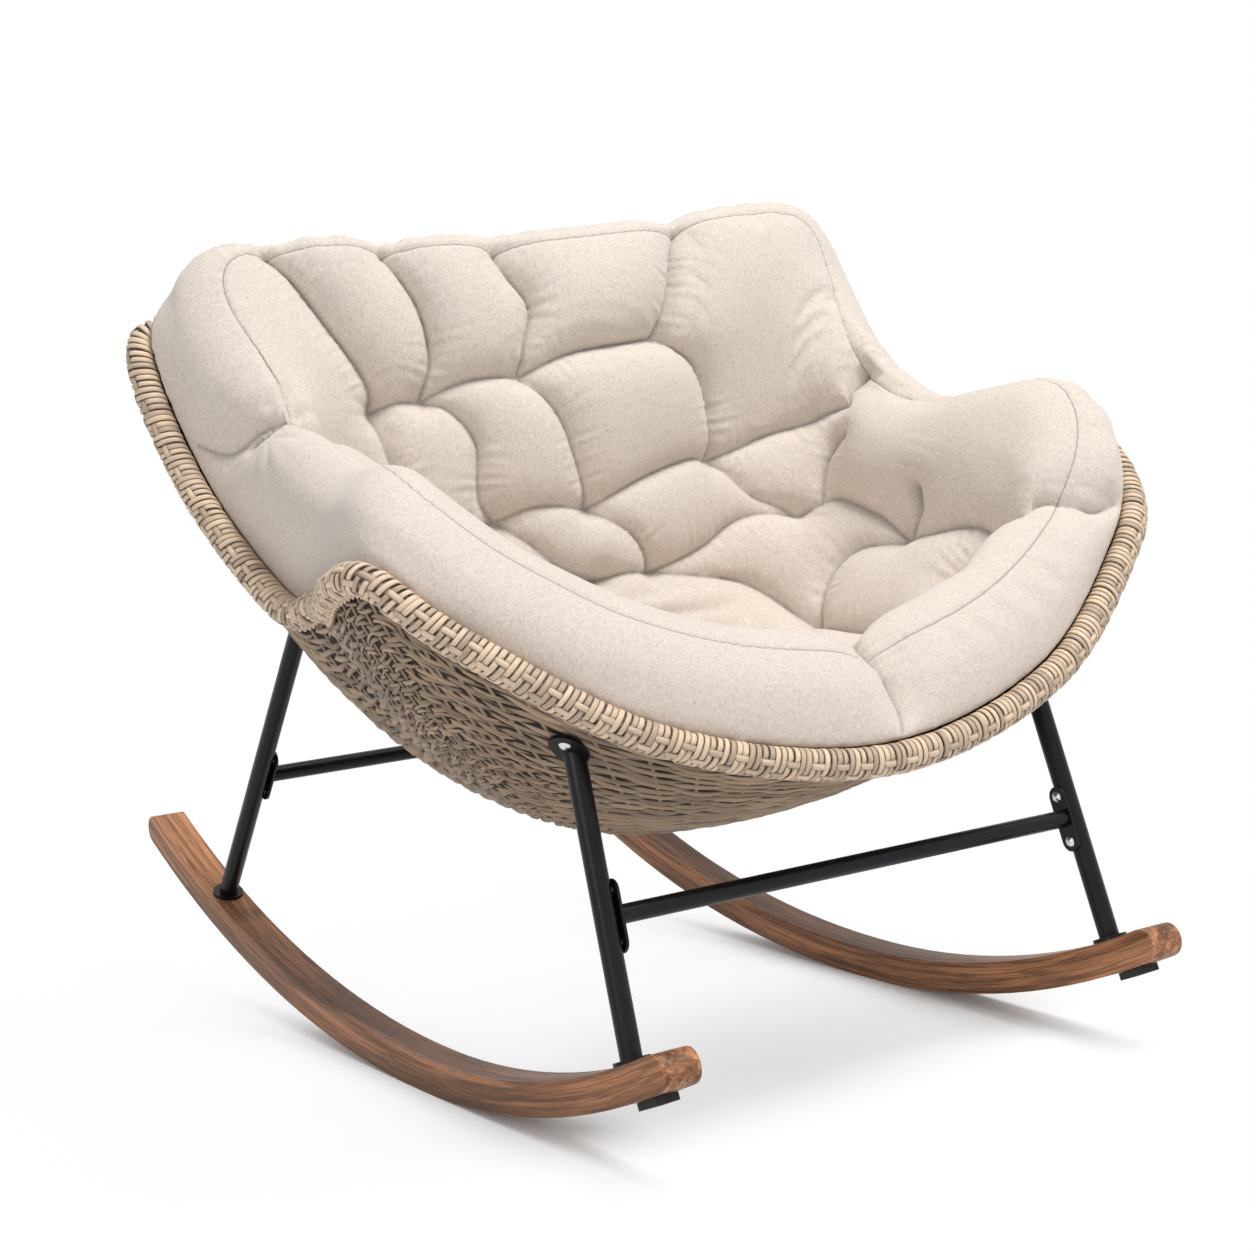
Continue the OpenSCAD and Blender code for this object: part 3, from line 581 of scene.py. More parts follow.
def weave_course(bin_, rng, look, c):
    """One course round the bowl: a strand, or two side by side where the courses lie wide apart."""
    half_width, half_thick = look.strand_width / MM / 2, look.strand_thick / MM / 2
    middle, half_step = (c + .5) / look.courses, .5 / look.courses
    stakes = stakes_at(middle)
    count = stakes * STEPS
    t = np.arange(count) * 360 / count
    whole = reach_to(t, WRAP_R - 1.5)
    above, below = (bowl(t, whole * (middle + way * half_step)) for way in (1, -1))
    pitch = np.linalg.norm(above - below, axis=1)
    # 0 for one strand, 1 for a pair
    pair = smooth((pitch / (2 * half_width) - 1.22) / .25)
    x = np.arange(count) / STEPS + c
    over = np.cos(np.pi * x)
    over = np.sign(over) * np.abs(over) ** .8
    for place in (-1, 1):
        first = place < 0
        s = whole * (middle + place * .25 * pair / look.courses)
        n, up = wall_frame(t, s)
        wave = 2.3 * np.sin(np.pi * (x - c) + .7 * c + .5 * rng.normal())
        wave = (wave + ripple(rng, count, stakes // 2, 1.8)) * min(1, middle * 3)
        depth = -SINK + SWING * over + ripple(rng, count, stakes, .4) + wall_shift(s)
        if not first:
            depth -= TUCK * (1 - pair)
        centre = bowl(t, s) + n * depth[:, None] + up * wave[:, None]
        full = pitch * (.41 - .19 * pair) if first else pitch * .22 * pair
        width = full * (1 + ripple(rng, count, stakes // 2, .13)) * (.93 + .1 * over)
        thick = half_thick * (1 + ripple(rng, count, stakes // 3, .1))
        thick = thick * np.minimum(1, width / half_width * 1.3)
        # a tone for each run between two dives, and one for the whole strand
        run = np.floor(x / 2 + .5).astype(int)
        tones = rng.uniform(0, 1, int(run.max()) + 2)[run] * .75 + rng.uniform(0, .25)
        along = np.arange(count) * np.linalg.norm(np.diff(centre, axis=0), axis=1).mean() * MM
        tilt = unit(n + up * (.3 * np.sin(np.pi * x + 1.9) + .2)[:, None])
        cross = unit(np.cross(np.cross(tilt, up), tilt))
        strand = strand_points(centre, cross, tilt, width, thick)
        # depth: how far the strand lies under the stakes, which the finish paints as shade
        facts = {"tone": tones, "along": along, "depth": (1 - over) / 2}
        shown = np.arange(count) if first else np.nonzero(pair > .04)[0]
        for part in np.split(shown, np.nonzero(np.diff(shown) > 1)[0] + 1):
            if len(part) > STEPS:
                of_part = {name: values[part] for name, values in facts.items()}
                bin_.grid(strand[part], first, True, across=STRAND_ACROSS, **of_part)


def set_stake(bin_, rng, i):
    """One stake, from where it starts up to the rim."""
    t = np.full(STAKE_ROWS, i * 360 / STAKES + rng.normal() * .15)
    s = np.linspace(stake_start(i), 1, STAKE_ROWS) * reach_to(t, WRAP_R - 2)
    n, up = wall_frame(t, s)
    centre = bowl(t, s) + n * (-SINK + wall_shift(s))[:, None]
    points = strand_points(centre, np.cross(n, up), n, STAKE_HALF_WIDTH, STAKE_HALF_THICK)
    # the stakes get a fixed painted shade through depth
    bin_.grid(points, False, True, tone=rng.uniform(.1, .5), along=np.arange(STAKE_ROWS) * 16 * MM,
              across=STRAND_ACROSS, depth=.45)


def bottom_coil(bin_):
    """Small coil that closes the bottom."""
    count = COIL_TURNS * COIL_STEPS
    a = np.arange(count) * 360 / COIL_STEPS
    r = np.linspace(.002, .034, count)
    n = bowl_normal(a, r + .01)
    up = unit(bowl(a, r + .012) - bowl(a, r + .004))
    # the coil gets a slight painted shade through depth
    bin_.grid(strand_points(bowl(a, r) + n * -1.6, up, n, 2.2, 1.5), False, True, tone=.45,
              along=np.arange(count) * .003, across=STRAND_ACROSS, depth=.1)


def shade_sheet_finish(base):
    """Painted shade: the dark inside of the weave, seen through its gaps."""
    m = Shader("painted_shade_sheet")
    grain = m.noise(m.place(), 260.0, 4, .6)
    tone = m.blend(m.span(grain, .35, .7), rgb(base, .02), rgb(base, .08))
    rough = m.span(grain, .3, .7, .8, .95)
    return m.surface(Base_Color=tone, Roughness=rough, Normal=m.bump(grain, .6, .001))


def shade_sheet_points():
    """Thin closed sheet of painted shade in the middle of the wall: up its outside and down its inside."""
    t = np.arange(0, 360, 2.5)
    shares = np.linspace(.01, 1, 40)
    whole = reach_to(t, WRAP_R - 2)
    rows = []
    for depth, way in ((SHADE_SHEET_OUTSIDE, shares), (SHADE_SHEET_INSIDE, shares[::-1])):
        for s in (whole * share for share in way):
            rows.append(bowl(t, s) + bowl_normal(t, s) * (depth + wall_shift(s))[:, None])
    return np.array(rows)


class CHAIR_OT_weave(bpy.types.Operator):
    """Weave the bowl: strands over and under its stakes, on a dark sheet of painted shade"""
    bl_idname = "chair.weave"
    bl_label = "Weave the bowl"

    def execute(self, context):
        look = context.scene.chair_weave
        rng = np.random.default_rng(11)
        base = tuple(look.strand_colour)
        # the last two numbers set the painted shade at the strands' sides and where they dive
        finish = strand_finish("bowl_strand", tint(base, .42), base, tint(base, 1.5), tint(base, .5), .92, .6)
        strands = MeshBin("tone", "along", "across", "depth")
        for c in range(2, look.courses):
            weave_course(strands, rng, look, c)
        for i in range(STAKES):
            set_stake(strands, rng, i)
        bottom_coil(strands)
        settle(strands.object("woven_bowl", finish), "chair", "weave", "wicker_shell")
        sheet = MeshBin()
        sheet.grid(shade_sheet_points(), True, True)
        settle(sheet.object("woven_bowl_shade_sheet", shade_sheet_finish(base)), "chair", "weave")
        return {"FINISHED"}


# ---------------------------------------------------------------- rim binding
# where the laid runs lie round the rim, in degrees from the wall
RUN_ROWS = (62, 112, 160)
RUN_RADIUS, RUN_LIFT, RUN_HALF_WIDTH = 12.9, 2.75, 3.3
RUN_SECTION = [(x, y - .12 * x * x) for x, y in ((-1, -1.2), (-.9, .1), (0, .8), (.9, .1), (1, -1.2))]
TURN_RADIUS, TURN_UNDER, TURN_OVER = 14.4, 1.5, .9
TURN_SECTION = [(-1, -1.7), (-.94, -.25), (-.5, .62), (.5, .62), (.94, -.25), (1, -1.7)]
TURN_ACROSS = np.array([[-1, -.9, -.4, .4, .9, 1]])
# painted shade across a turn's section, darkest at its sides
TURN_SIDE_SHADE = np.array([[1, .3, 0, 0, .3, 1]])
BED_RADIUS = 12.6
# two-ply lacing: length of one twist, and how far its middle lies down the wall and to each side of it
LACING = 21.0
LACING_DOWN = 15.6
LACING_SIDES = ((1, 5.4), (-1, 4.6))


class RimLine:
    """The rim by length, with the turns evenly spaced so that the pattern closes."""

    def __init__(self, wanted_pitch):
        angles = np.arange(0, 360, .25)
        line = rim(angles)
        steps = np.linalg.norm(np.roll(line, -1, 0) - line, axis=1)
        self.total = steps.sum()
        self.lengths = np.concatenate([[0], np.cumsum(steps)[:-1], [self.total]])
        self.angles = np.append(angles, 360.0)
        self.turns = int(self.total / wanted_pitch / 4) * 4
        self.pitch = self.total / self.turns

    def angle(self, length):
        return np.interp(np.asarray(length) % self.total, self.lengths, self.angles)

    def quarter_steps(self):
        """Four places for each turn, counted in turns."""
        return np.arange(self.turns * 4) / 4


def round_rim(down, out, degrees):
    """Direction from the rim's centreline, turned from the wall towards the outside."""
    angle = np.radians(degrees)
    return down * np.cos(angle)[..., None] + out * np.sin(angle)[..., None]


def wind_turn(bin_, rng, line, i):
    """One turn round the hoop, dipping under the runs that cross over it."""
    phi = np.linspace(16, 344, 30)
    t = line.angle(i * line.pitch + line.pitch * (phi / 360 - .5) * 2.6 + rng.normal() * .45)
    along, down, out = rim_frame(t)
    under = np.zeros(len(phi))
    for j, row in enumerate(RUN_ROWS):
        if (i + 2 * j) % 4 >= 2:
            under = np.maximum(under, np.exp(-((phi - row) / 15) ** 4))
    radius = TURN_RADIUS + TURN_OVER * (1 - under) - TURN_UNDER * under + rng.normal() * .25
    ray = round_rim(down, out, phi)
    half_width = line.pitch * .5 * rng.uniform(.78, .94)
    points = strand_points(rim(t) + ray * radius[:, None], along, ray, half_width, 1.0, TURN_SECTION)
    # depth carries painted shade: where the turn dips under the runs, and at its sides
    bin_.grid(points, tone=rng.uniform(0, 1), along=phi / 57 * .015, across=TURN_ACROSS,
              depth=np.maximum((under * .55)[:, None], TURN_SIDE_SHADE))


def lay_run(bin_, rng, line, j):
    """One run laid along the rim, over and under the turns."""
    place = line.quarter_steps()
    t = line.angle(place * line.pitch)
    along, down, out = rim_frame(t)
    show = smooth((1.15 - np.abs((place + 2 * j) % 4 - 2.5)) / .5)
    ray = round_rim(down, out, RUN_ROWS[j])
    centre = rim(t) + ray * (RUN_RADIUS + RUN_LIFT * show)[:, None]
    points = strand_points(centre, np.cross(along, ray), ray, RUN_HALF_WIDTH, 1.0, RUN_SECTION)
    # one tone for each length that shows between two turns
    shown = np.floor((place + 2 * j) / 4).astype(int) % (line.turns + 1)
    tones = rng.uniform(0, 1, line.turns + 2)[shown]
    # depth carries painted shade where the run goes under the turns
    bin_.grid(points, True, tone=tones, along=place * line.pitch * MM,
              across=np.array([[x for x, _ in RUN_SECTION]]), depth=(1 - show) * .8)


def painted_shade_bed(bin_):
    """Painted shade: a dark bed below the turns, which shows in the gaps between them."""
    t = np.arange(480) * 360 / 480
    _, down, out = rim_frame(t)
    rows = [rim(t) + round_rim(down, out, a) * BED_RADIUS for a in np.linspace(14, 346, 22)]
    # tone .05 and depth 1 paint it dark as shade
    bin_.grid(np.stack(rows, 1), True, tone=.05, along=0.0, across=0.0, depth=1.0)


def lace_edges(bin_, line):
    """Two-ply lacing that closes the binding, outside and inside."""
    a = line.quarter_steps() * line.pitch
    t = line.angle(a)
    _, down, out = rim_frame(t)
    twists = line.total / LACING
    for side, push in LACING_SIDES:
        for ply in (0, math.pi):
            turn = a / LACING * 2 * math.pi + ply
            turn *= round(twists) / twists
            core = rim(t) + down * LACING_DOWN + out * (side * push)
            centre = core + down * (np.cos(turn) * 1.5)[:, None] + out * (np.sin(turn) * 1.3)[:, None]
            # the lacing gets a slight painted shade through depth
            bin_.grid(strand_points(centre, down, out * side, 1.9, 1.5), True, True,
                      tone=.35 + .2 * side, along=a * MM, across=STRAND_ACROSS, depth=.15)


class CHAIR_OT_rim(bpy.types.Operator):
    """Bind the rim: turns wound round the hoop, woven with runs laid along it"""
    bl_idname = "chair.rim"
    bl_label = "Bind the rim"

    def execute(self, context):
        look = context.scene.chair_weave
        rng = np.random.default_rng(23)
        base = tuple(look.rim_colour)
        # the last two numbers set the painted shade at the strands' sides and where they go under
        finish = strand_finish("rim_binding", tint(base, .5), base, tint(base, 1.35), tint(base, .6), .75, .9)
        line = RimLine(look.wrap_pitch / MM)
        binding = MeshBin("tone", "along", "across", "depth")
        for i in range(line.turns):
            wind_turn(binding, rng, line, i)
        for j in range(len(RUN_ROWS)):
            lay_run(binding, rng, line, j)
        painted_shade_bed(binding)
        lace_edges(binding, line)
        settle(binding.object("rim_binding", finish), "chair", "rim_strand", "rim_wrap")
        return {"FINISHED"}


# ---------------------------------------------------------------- cushion
# sewn creases of the cushion's top, by angle round it and reach; a crease shares its ends with those it meets
CREASES = [
    [(210, 1.25), (210, 1.13), (208.5, .99), (210, .94)],
    [(196.5, 1.25), (196.5, 1.16), (198, 1.03), (201, .95)],
    [(186, 1.25), (184.5, 1.19), (186, 1.11), (187.5, 1.02)],
    [(166.5, 1.25), (166.5, 1.19), (168, 1.08)],
    [(210, .94), (204, .95), (201, .95)],
    [(201, .95), (193.5, 1), (187.5, 1.02)],
    [(187.5, 1.02), (180, 1.08), (168, 1.08)],
    [(210, .94), (211.5, .87), (214.5, .8), (226, .78), (235.5, .77)],
    [(201, .95), (198, .93), (196.5, .86), (199.5, .75), (198, .7)],
    [(187.5, 1.02), (184.5, .93), (183, .81), (181.5, .7)],
    [(168, 1.08), (162, .98), (157.5, .87), (154.5, .79)],
    [(198, .7), (190.5, .72), (181.5, .7)],
    [(181.5, .7), (171, .76), (162, .79), (154.5, .79)],
    [(154.5, .79), (144, .84), (126, .96), (113, 1.16), (111, 1.25)],
    [(154.5, .79), (141, .74), (124.5, .77)],
    [(214.5, .8), (222, .88), (236, .98), (249, 1.25)],
    [(198, .7), (214, .7), (235.5, .77)],
    [(181.5, .7), (174, .64), (169.5, .58), (168, .55)],
    [(124.5, .77), (145.5, .67), (154.5, .61), (168, .55)],
    [(235.5, .77), (214.5, .66), (202, .6), (181.5, .54)],
    [(168, .55), (175.5, .55), (181.5, .54)],
    [(198, .7), (193.5, .64), (189, .58), (181.5, .54)],
    [(168, .55), (150, .54), (126, .55), (100.5, .58)],
    [(181.5, .54), (210, .54), (234, .55), (259.5, .58)],
    [(52.5, .54), (25, .47), (0, .45), (335, .47), (307.5, .54)],
    [(0, .45), (1, .7), (2, .95), (2, 1.1), (2, 1.25)],
    [(40.5, .89), (33, 1), (31.5, 1.12), (32, 1.25)],
    [(117, .835), (118.5, .91), (115.5, 1.0), (112, 1.06)],
    [(34.5, .7), (22, .9), (19, 1)]]
# those of one side, which the other side repeats mirrored
SIDE_CREASES = [
    [(124.5, .77), (109.5, .9), (96, .93), (82.5, .86)],
    [(82.5, .86), (79.5, .92), (82.5, 1.0)],
    [(82.5, .86), (64.5, .84), (40.5, .89)],
    [(40.5, .89), (45, .8), (45, .73), (34.5, .7)],
    [(82.5, .86), (97.5, .82), (103.5, .7), (100.5, .58)],
    [(100.5, .58), (75, .56), (52.5, .54)],
    [(52.5, .54), (40.5, .62), (34.5, .7)]]
# those that run down the border's outside
BORDER_CREASES = [
    [(2, 1.25), (2, 1.12), (1.5, 1.04)],
    [(249, 1.25), (244, 1.13), (238, 1.04)],
    [(32, 1.25), (34, 1.15), (37, 1.07)],
    [(249, 1.25), (248, 1.2), (246, 1.15)]]
# sewn tufts
TUFTS = [(210, .94), (201, .95), (187.5, 1.02), (168, 1.08), (198, .7), (181.5, .7), (154.5, .79),
         (168, .55), (181.5, .54), (124.5, .77), (82.5, .86), (40.5, .89), (34.5, .7), (100.5, .58),
         (52.5, .54), (235.5, .77), (277.5, .86), (319.5, .89), (325.5, .7), (259.5, .58), (307.5, .54)]
# height of a cell's crown over the plain cover, how far the pressure reaches, the fullness that counts as
# whole, and the exponent that rounds a cell off
CROWN = 6.0
SPREAD = 46.0
FULL = 1180.0
PILLOW = .64
TUFT_DEPTH = 12.0
# spacing of the points along a crease
CREASE_STEP = 2.0
SIM_FRAMES, SIM_PRESSURE, SIM_CAP = 16, 4.0, 6.0
# read as far from any crease or seam
FAR = 40.0
WAISTS = ((249.0, 1.2), (111.0, 1.2))


def cushion_base(t, u):
    """Underside of the plain cushion's middle: on the bowl to the rim, then past it to the nose."""
    s = np.minimum(u, 1.0)
    p = bowl(t, s) - bowl_normal(t, s) * (CUSHION_DEPTH + CUSHION_STEP * near_rim(s))[..., None]
    nose = np.maximum(0, u - 1) / NOSE
    away = rim(t) * [1, 1, 0] - [0, -150, 0]
    p += unit(away) * (spline(LEAN_TABLE, t) * nose)[..., None]
    p[..., 2] += spline(RISE_TABLE - SETTLE_TABLE, t) * nose
    return p


def cushion_side(t, u, side):
    """Plain cushion surface: side is 1 on top and -1 underneath."""
    t, u = np.broadcast_arrays(np.asarray(t, float), np.asarray(u, float))
    base = cushion_base(t, u)
    inward = unit(CUSHION_FOCUS - base)
    half = CUSHION_THICK / 2 * (1 + (spline(EDGE_TABLE, t) - 1) * np.minimum(u, 1) ** 2)
    share = np.maximum(0, 1 - (np.maximum(0, u - 1) / NOSE) ** EDGE_POWER) ** (1 / EDGE_POWER)
    return base + inward * (half * (1 + side * share))[..., None]


def run_along(points):
    """Length from the first point to each of them."""
    return np.concatenate([[0], np.cumsum(np.linalg.norm(np.diff(points, axis=0), axis=1))])


def dense_line(points, place, side):
    """Points every few millimetres along a crease given by angle and reach."""
    pts = np.array(points, float)
    for i in range(1, len(pts)):
        pts[i, 0] -= 360 * round((pts[i, 0] - pts[i - 1, 0]) / 360)
    fine = np.linspace(0, len(pts) - 1, 60 * (len(pts) - 1) + 1)
    padded = np.vstack([2 * pts[0] - pts[1], pts, 2 * pts[-1] - pts[-2]])
    i = np.minimum(fine.astype(int), len(pts) - 2)
    tu = catmull(*(padded[i + j] for j in range(4)), (fine - i)[:, None])
    xyz = place(tu[:, 0], np.clip(tu[:, 1], .02, 1 + NOSE), side)
    run = run_along(xyz)
    want = np.arange(0, run[-1] + CREASE_STEP / 2, CREASE_STEP)
    return np.stack([np.interp(want, run, xyz[:, j]) for j in range(3)], 1)


def tree_of(points):
    tree = kdtree.KDTree(len(points))
    for i, p in enumerate(points):
        tree.insert(p, i)
    tree.balance()
    return tree


def distances(tree, points):
    found = [tree.find(p) for p in points]
    return np.array([f[2] for f in found]), np.array([f[1] for f in found])


def coordinates(mesh):
    co = np.empty(len(mesh.vertices) * 3)
    mesh.vertices.foreach_get("co", co)
    return co.reshape(-1, 3)


def place_vertices(mesh, co):
    mesh.vertices.foreach_set("co", co.astype(np.float32).ravel())
    mesh.update()


def evaluated_mesh(obj):
    return bpy.data.meshes.new_from_object(obj.evaluated_get(bpy.context.evaluated_depsgraph_get()))


def apply_modifiers(obj):
    done = evaluated_mesh(obj)
    obj.modifiers.clear()
    obj.data = done


class Cover:
    """Plain cover of the cushion with its sewing: finds, for any point, where it lies on the cover."""

    def __init__(self):
        self.angles = np.arange(0, 360, 2.0)
        nose_rows = np.linspace(0, math.pi / 2, 20)[1:]
        self.rows = np.concatenate([np.linspace(.015, 1, 60), 1 + NOSE * np.sin(nose_rows)])
        back = self.rows[::-1][1:]
        self.points = np.array([cushion_side(self.angles, u, -1) for u in self.rows]
                               + [cushion_side(self.angles, u, 1) for u in back])
        self.reaches = np.concatenate([self.rows, back])
        self.ease()
        self.measure()
        self.sew()

    def ease(self):
        """Rounds the cover off, more on top and at its corners and waists."""
        t, reach = self.angles, self.reaches
        upper = np.arange(len(reach)) >= len(self.rows) - 1
        even = np.where(upper, smooth((reach - .45) / .4), smooth((reach - 1.02) / .16)) * .5
        soft = np.where(upper, smooth((reach - .5) / .25), 0) * (1 - .88 * smooth((reach - 1.07) / .13)) * .5
        soft = soft[1:-1, None, None]
        shoulder = np.where(upper, smooth((reach - .5) / .25) * (1 - smooth((reach - 1.06) / .17)), 0) * .5
        corner = np.exp(-(((t % 180) - np.where(t < 180, 134, 46)) / 21) ** 2)
        waist = np.exp(-(((t % 180) - np.where(t < 180, 107, 73)) / 15) ** 2)
        border = np.where(upper, 0, smooth((reach - 1.08) / .12)) * .5
        local = shoulder[:, None] * np.maximum(corner, .12)[None, :] + border[:, None] * waist[None, :]
        for turn in range(160):
            p = self.points
            share = even[:, None, None] if turn < 44 else local[:, :, None]
            p = p + share * (.5 * (np.roll(p, 1, 1) + np.roll(p, -1, 1)) - p)
            if turn < 44 or turn % 3 == 0:
                p[1:-1] += soft * (.5 * (p[2:] + p[:-2]) - p[1:-1])
            self.points = p

    def measure(self):
        """Length from the seam, normals and faces of the cover."""
        count, cols = self.points.shape[:2]
        steps = np.linalg.norm(np.diff(self.points, axis=0), axis=2)
        run = np.concatenate([np.zeros((1, cols)), np.cumsum(steps, 0)])
        self.edge = (run - run[len(self.rows) - 1]).ravel()
        self.reach = np.repeat(self.reaches, cols)
        across = np.roll(self.points, -1, 1) - np.roll(self.points, 1, 1)
        normal = unit(np.cross(across, np.gradient(self.points, axis=0)))
        flip = np.sign(np.sum(normal[5] * (self.points[5] - CUSHION_FOCUS), -1).mean())
        self.normals = (normal * flip).reshape(-1, 3)
        index = np.arange(count * cols).reshape(count, cols)
        a, b, c, d = index[:-1], np.roll(index[:-1], -1, 1), np.roll(index[1:], -1, 1), index[1:]
        self.tris = np.concatenate([np.stack(tri, -1).reshape(-1, 3) for tri in ([a, b, c], [a, c, d])])
        self.flat = self.points.reshape(-1, 3)
        self.tree = bvhtree.BVHTree.FromPolygons(self.flat.tolist(), self.tris.tolist())

    def sew(self):
        """Places the creases, the tufts and the border seam on the cover."""
        mirrored = [[(360 - a, b) for a, b in line] for line in SIDE_CREASES]
        lines = [dense_line(line, self.spot, 1) for line in CREASES + SIDE_CREASES + mirrored]
        lines += [dense_line(line, self.spot, -1) for line in BORDER_CREASES]
        self.crease = np.concatenate(lines)
        self.crease_run = np.arange(len(self.crease)) * CREASE_STEP
        self.crease_tree = tree_of(self.crease)
        self.tufts = self.spot(*np.array(TUFTS, float).T, 1)
        self.tuft_tree = tree_of(self.tufts)
        nose = self.spot(np.arange(0, 360, .5), np.full(720, 1 + NOSE), 1)
        self.nose_run = run_along(nose)
        self.nose_tree = tree_of(nose)
        self.waists = self.spot(*np.array(WAISTS).T, -1)

    def spot(self, t, u, side):
        """Point of the eased cover at an angle and reach."""
        last = len(self.rows) - 1
        row = np.interp(u, self.rows, np.arange(last + 1))
        row = np.where(side > 0, 2 * last - row, row)
        col = np.asarray(t, float) % 360 / 2
        i, j = np.minimum(row.astype(int), len(self.points) - 2), col.astype(int)
        a, b = (row - i)[:, None], (col - j)[:, None]
        left, right = j % len(self.angles), (j + 1) % len(self.angles)
        low, high = (self.points[k, left] * (1 - b) + self.points[k, right] * b for k in (i, i + 1))
        return low * (1 - a) + high * a

    def lay(self, points):
        """Puts points on the plain cover: their place, outward normal, reach and distance from the seam."""
        found = [self.tree.find_nearest(p) for p in points]
        at = np.array([f[0] for f in found])
        tri = self.tris[[f[2] for f in found]]
        a, b, c = (self.flat[tri[:, i]] for i in range(3))
        ab, ac, ap = b - a, c - a, at - a
        d00, d01, d11 = np.sum(ab * ab, 1), np.sum(ab * ac, 1), np.sum(ac * ac, 1)
        d20, d21 = np.sum(ap * ab, 1), np.sum(ap * ac, 1)
        under = np.maximum(d00 * d11 - d01 * d01, 1e-9)
        v, w = (d11 * d20 - d01 * d21) / under, (d00 * d21 - d01 * d20) / under
        weight = np.stack([1 - v - w, v, w], 1)
        normal, reach, edge = (np.einsum("ij,ij...->i...", weight, values[tri])
                               for values in (self.normals, self.reach, self.edge))
        return at, unit(normal), reach, edge


class Fit:
    """A mesh laid on the plain cover, with each point measured against the sewing."""

    def __init__(self, cover, mesh):
        self.at, self.normal, self.reach, self.edge = cover.lay(coordinates(mesh) / MM)
        _, self.near = distances(cover.crease_tree, self.at)
        start = cover.crease[self.near]
        # distance to the nearest crease, and the crease's nearest point
        self.gap, self.foot = np.full(len(self.at), 1e9), start
        for step in (-1, 1):
            side = cover.crease[np.clip(self.near + step, 0, len(cover.crease) - 1)] - start
            long = np.sum(side * side, 1)
            share = np.clip(np.sum((self.at - start) * side, 1) / np.maximum(long, 1e-6), 0, 1)
            # the next point of the list may belong to another crease
            share[long > 9] = 0
            spot = start + side * share[:, None]
            far = np.linalg.norm(self.at - spot, axis=1)
            self.foot = np.where((far < self.gap)[:, None], spot, self.foot)
            self.gap = np.minimum(self.gap, far)
        self.tuft_gap, self.tuft = distances(cover.tuft_tree, self.at)
        # how free the cover is of what carries it
        self.free = np.where(self.edge > 0, 1.0, smooth((self.reach - 1.0) / .2))

    def snap(self, limit):
        """Moves the points that are almost on a crease onto it."""
        close = (self.gap < limit) & (self.free > 0)
        self.at = np.where(close[:, None], self.foot, self.at)
        self.gap = np.where(close, 0, self.gap)

    def relief(self, full, depth):
        """Height of the filled cells over the plain cover."""
        border = 1 - .4 * np.exp(-(self.edge / 34) ** 2) - .3 * smooth(-self.edge / 30)
        rise = (np.maximum(full, 0) / FULL) ** PILLOW
        rise = np.where(rise > 1, 1 + .35 * np.tanh((rise - 1) / .35), rise)
        crown = CROWN - 10 * (1 - smooth((self.reach - .8) / .3))
        height = (depth + crown) * rise - depth
        height = np.where(height < 0, height * border, height)
        dimple = TUFT_DEPTH * np.exp(-(self.tuft_gap / 15) ** 2) + 5 * np.exp(-(self.tuft_gap / 38) ** 2)
        return (height - dimple * (self.edge > -20)) * self.free


class Ties:
    """Which points of a mesh are joined by its edges."""

    def __init__(self, mesh):
        ends = np.empty(len(mesh.edges) * 2, np.int64)
        mesh.edges.foreach_get("vertices", ends)
        self.ends = ends.reshape(-1, 2)
        self.count = len(mesh.vertices)
        self.links = np.bincount(ends, minlength=self.count).astype(float)

    def gather(self, x):
        """Sum of each point's neighbours."""
        a, b = self.ends.T
        return np.bincount(a, x[b], self.count) + np.bincount(b, x[a], self.count)


def fullness(ties, gap, free, net):
    """Even pressure under the cover, held down at the creases: a smooth bulge for each cell.

    The bulge solves a screened Poisson equation on the mesh, by conjugate gradients."""
    links = ties.links
    still = (gap < net * .5) | (free <= 0)
    fixed = np.where(free <= 0, SPREAD ** 2, 0.0) * still
    loose = ~still
    weight = links + links / 4 * (net / SPREAD) ** 2

    def act(x):
        return (weight * x - ties.gather(x)) * loose

    push = (links / 4 * net ** 2 + ties.gather(fixed)) * loose
    x = np.zeros(ties.count)
    rest = push - act(x)
    way = rest / weight
    old = rest @ way
    for _ in range(260):
        step = act(way)
        size = old / max(way @ step, 1e-12)
        x += size * way
        rest -= size * step
        ready = rest / weight
        new = rest @ ready
        if new < 1e-3:
            break
        way = ready + way * (new / old)
        old = new
    return np.where(still, fixed, x)


def fill_out(obj, before, hold):
    """Blows the cover up a little against its sewing, in millimetres; gives how far each point moved."""
    scene = bpy.context.scene
    held = obj.vertex_groups.new(name="held")
    for level in range(1, 21):
        chosen = np.nonzero(np.round(hold * 20).astype(int) == level)[0]
        if len(chosen):
            held.add([int(i) for i in chosen], level / 20, "REPLACE")
    sim = obj.modifiers.new("fill", "CLOTH")
    wear = sim.settings
    wear.quality = 5
    wear.mass = .3
    wear.tension_stiffness = wear.compression_stiffness = 18
    wear.shear_stiffness = 8
    wear.bending_stiffness = 3.0
    wear.use_pressure = True
    wear.uniform_pressure_force = SIM_PRESSURE
    wear.vertex_group_mass = "held"
    wear.pin_stiffness = 1.0
    wear.effector_weights.gravity = 0
    sim.collision_settings.use_collision = False
    sim.collision_settings.use_self_collision = False
    sim.point_cache.frame_start = 1
    sim.point_cache.frame_end = 24
    for frame_number in range(1, SIM_FRAMES + 1):
        scene.frame_set(frame_number)
    step = coordinates(evaluated_mesh(obj)) / MM - before
    obj.modifiers.clear()
    scene.frame_set(1)
    size = np.linalg.norm(step, axis=1, keepdims=True)
    return step * np.minimum(1, SIM_CAP / np.maximum(size, 1e-9))


def wander(points, scale, seed):
    """Cheap smooth noise from a few waves."""
    rng = np.random.default_rng(seed)
    out = np.zeros(len(points))
    for _ in range(9):
        way = unit(rng.normal(size=3)) * (2 * math.pi / scale) * rng.uniform(.6, 1.6)
        out += np.sin(points @ way + rng.uniform(0, 6.3))
    return out / 3


def phase(run, length):
    """Angle along a line, a full turn for each length in millimetres."""
    return run * 2 * math.pi / length


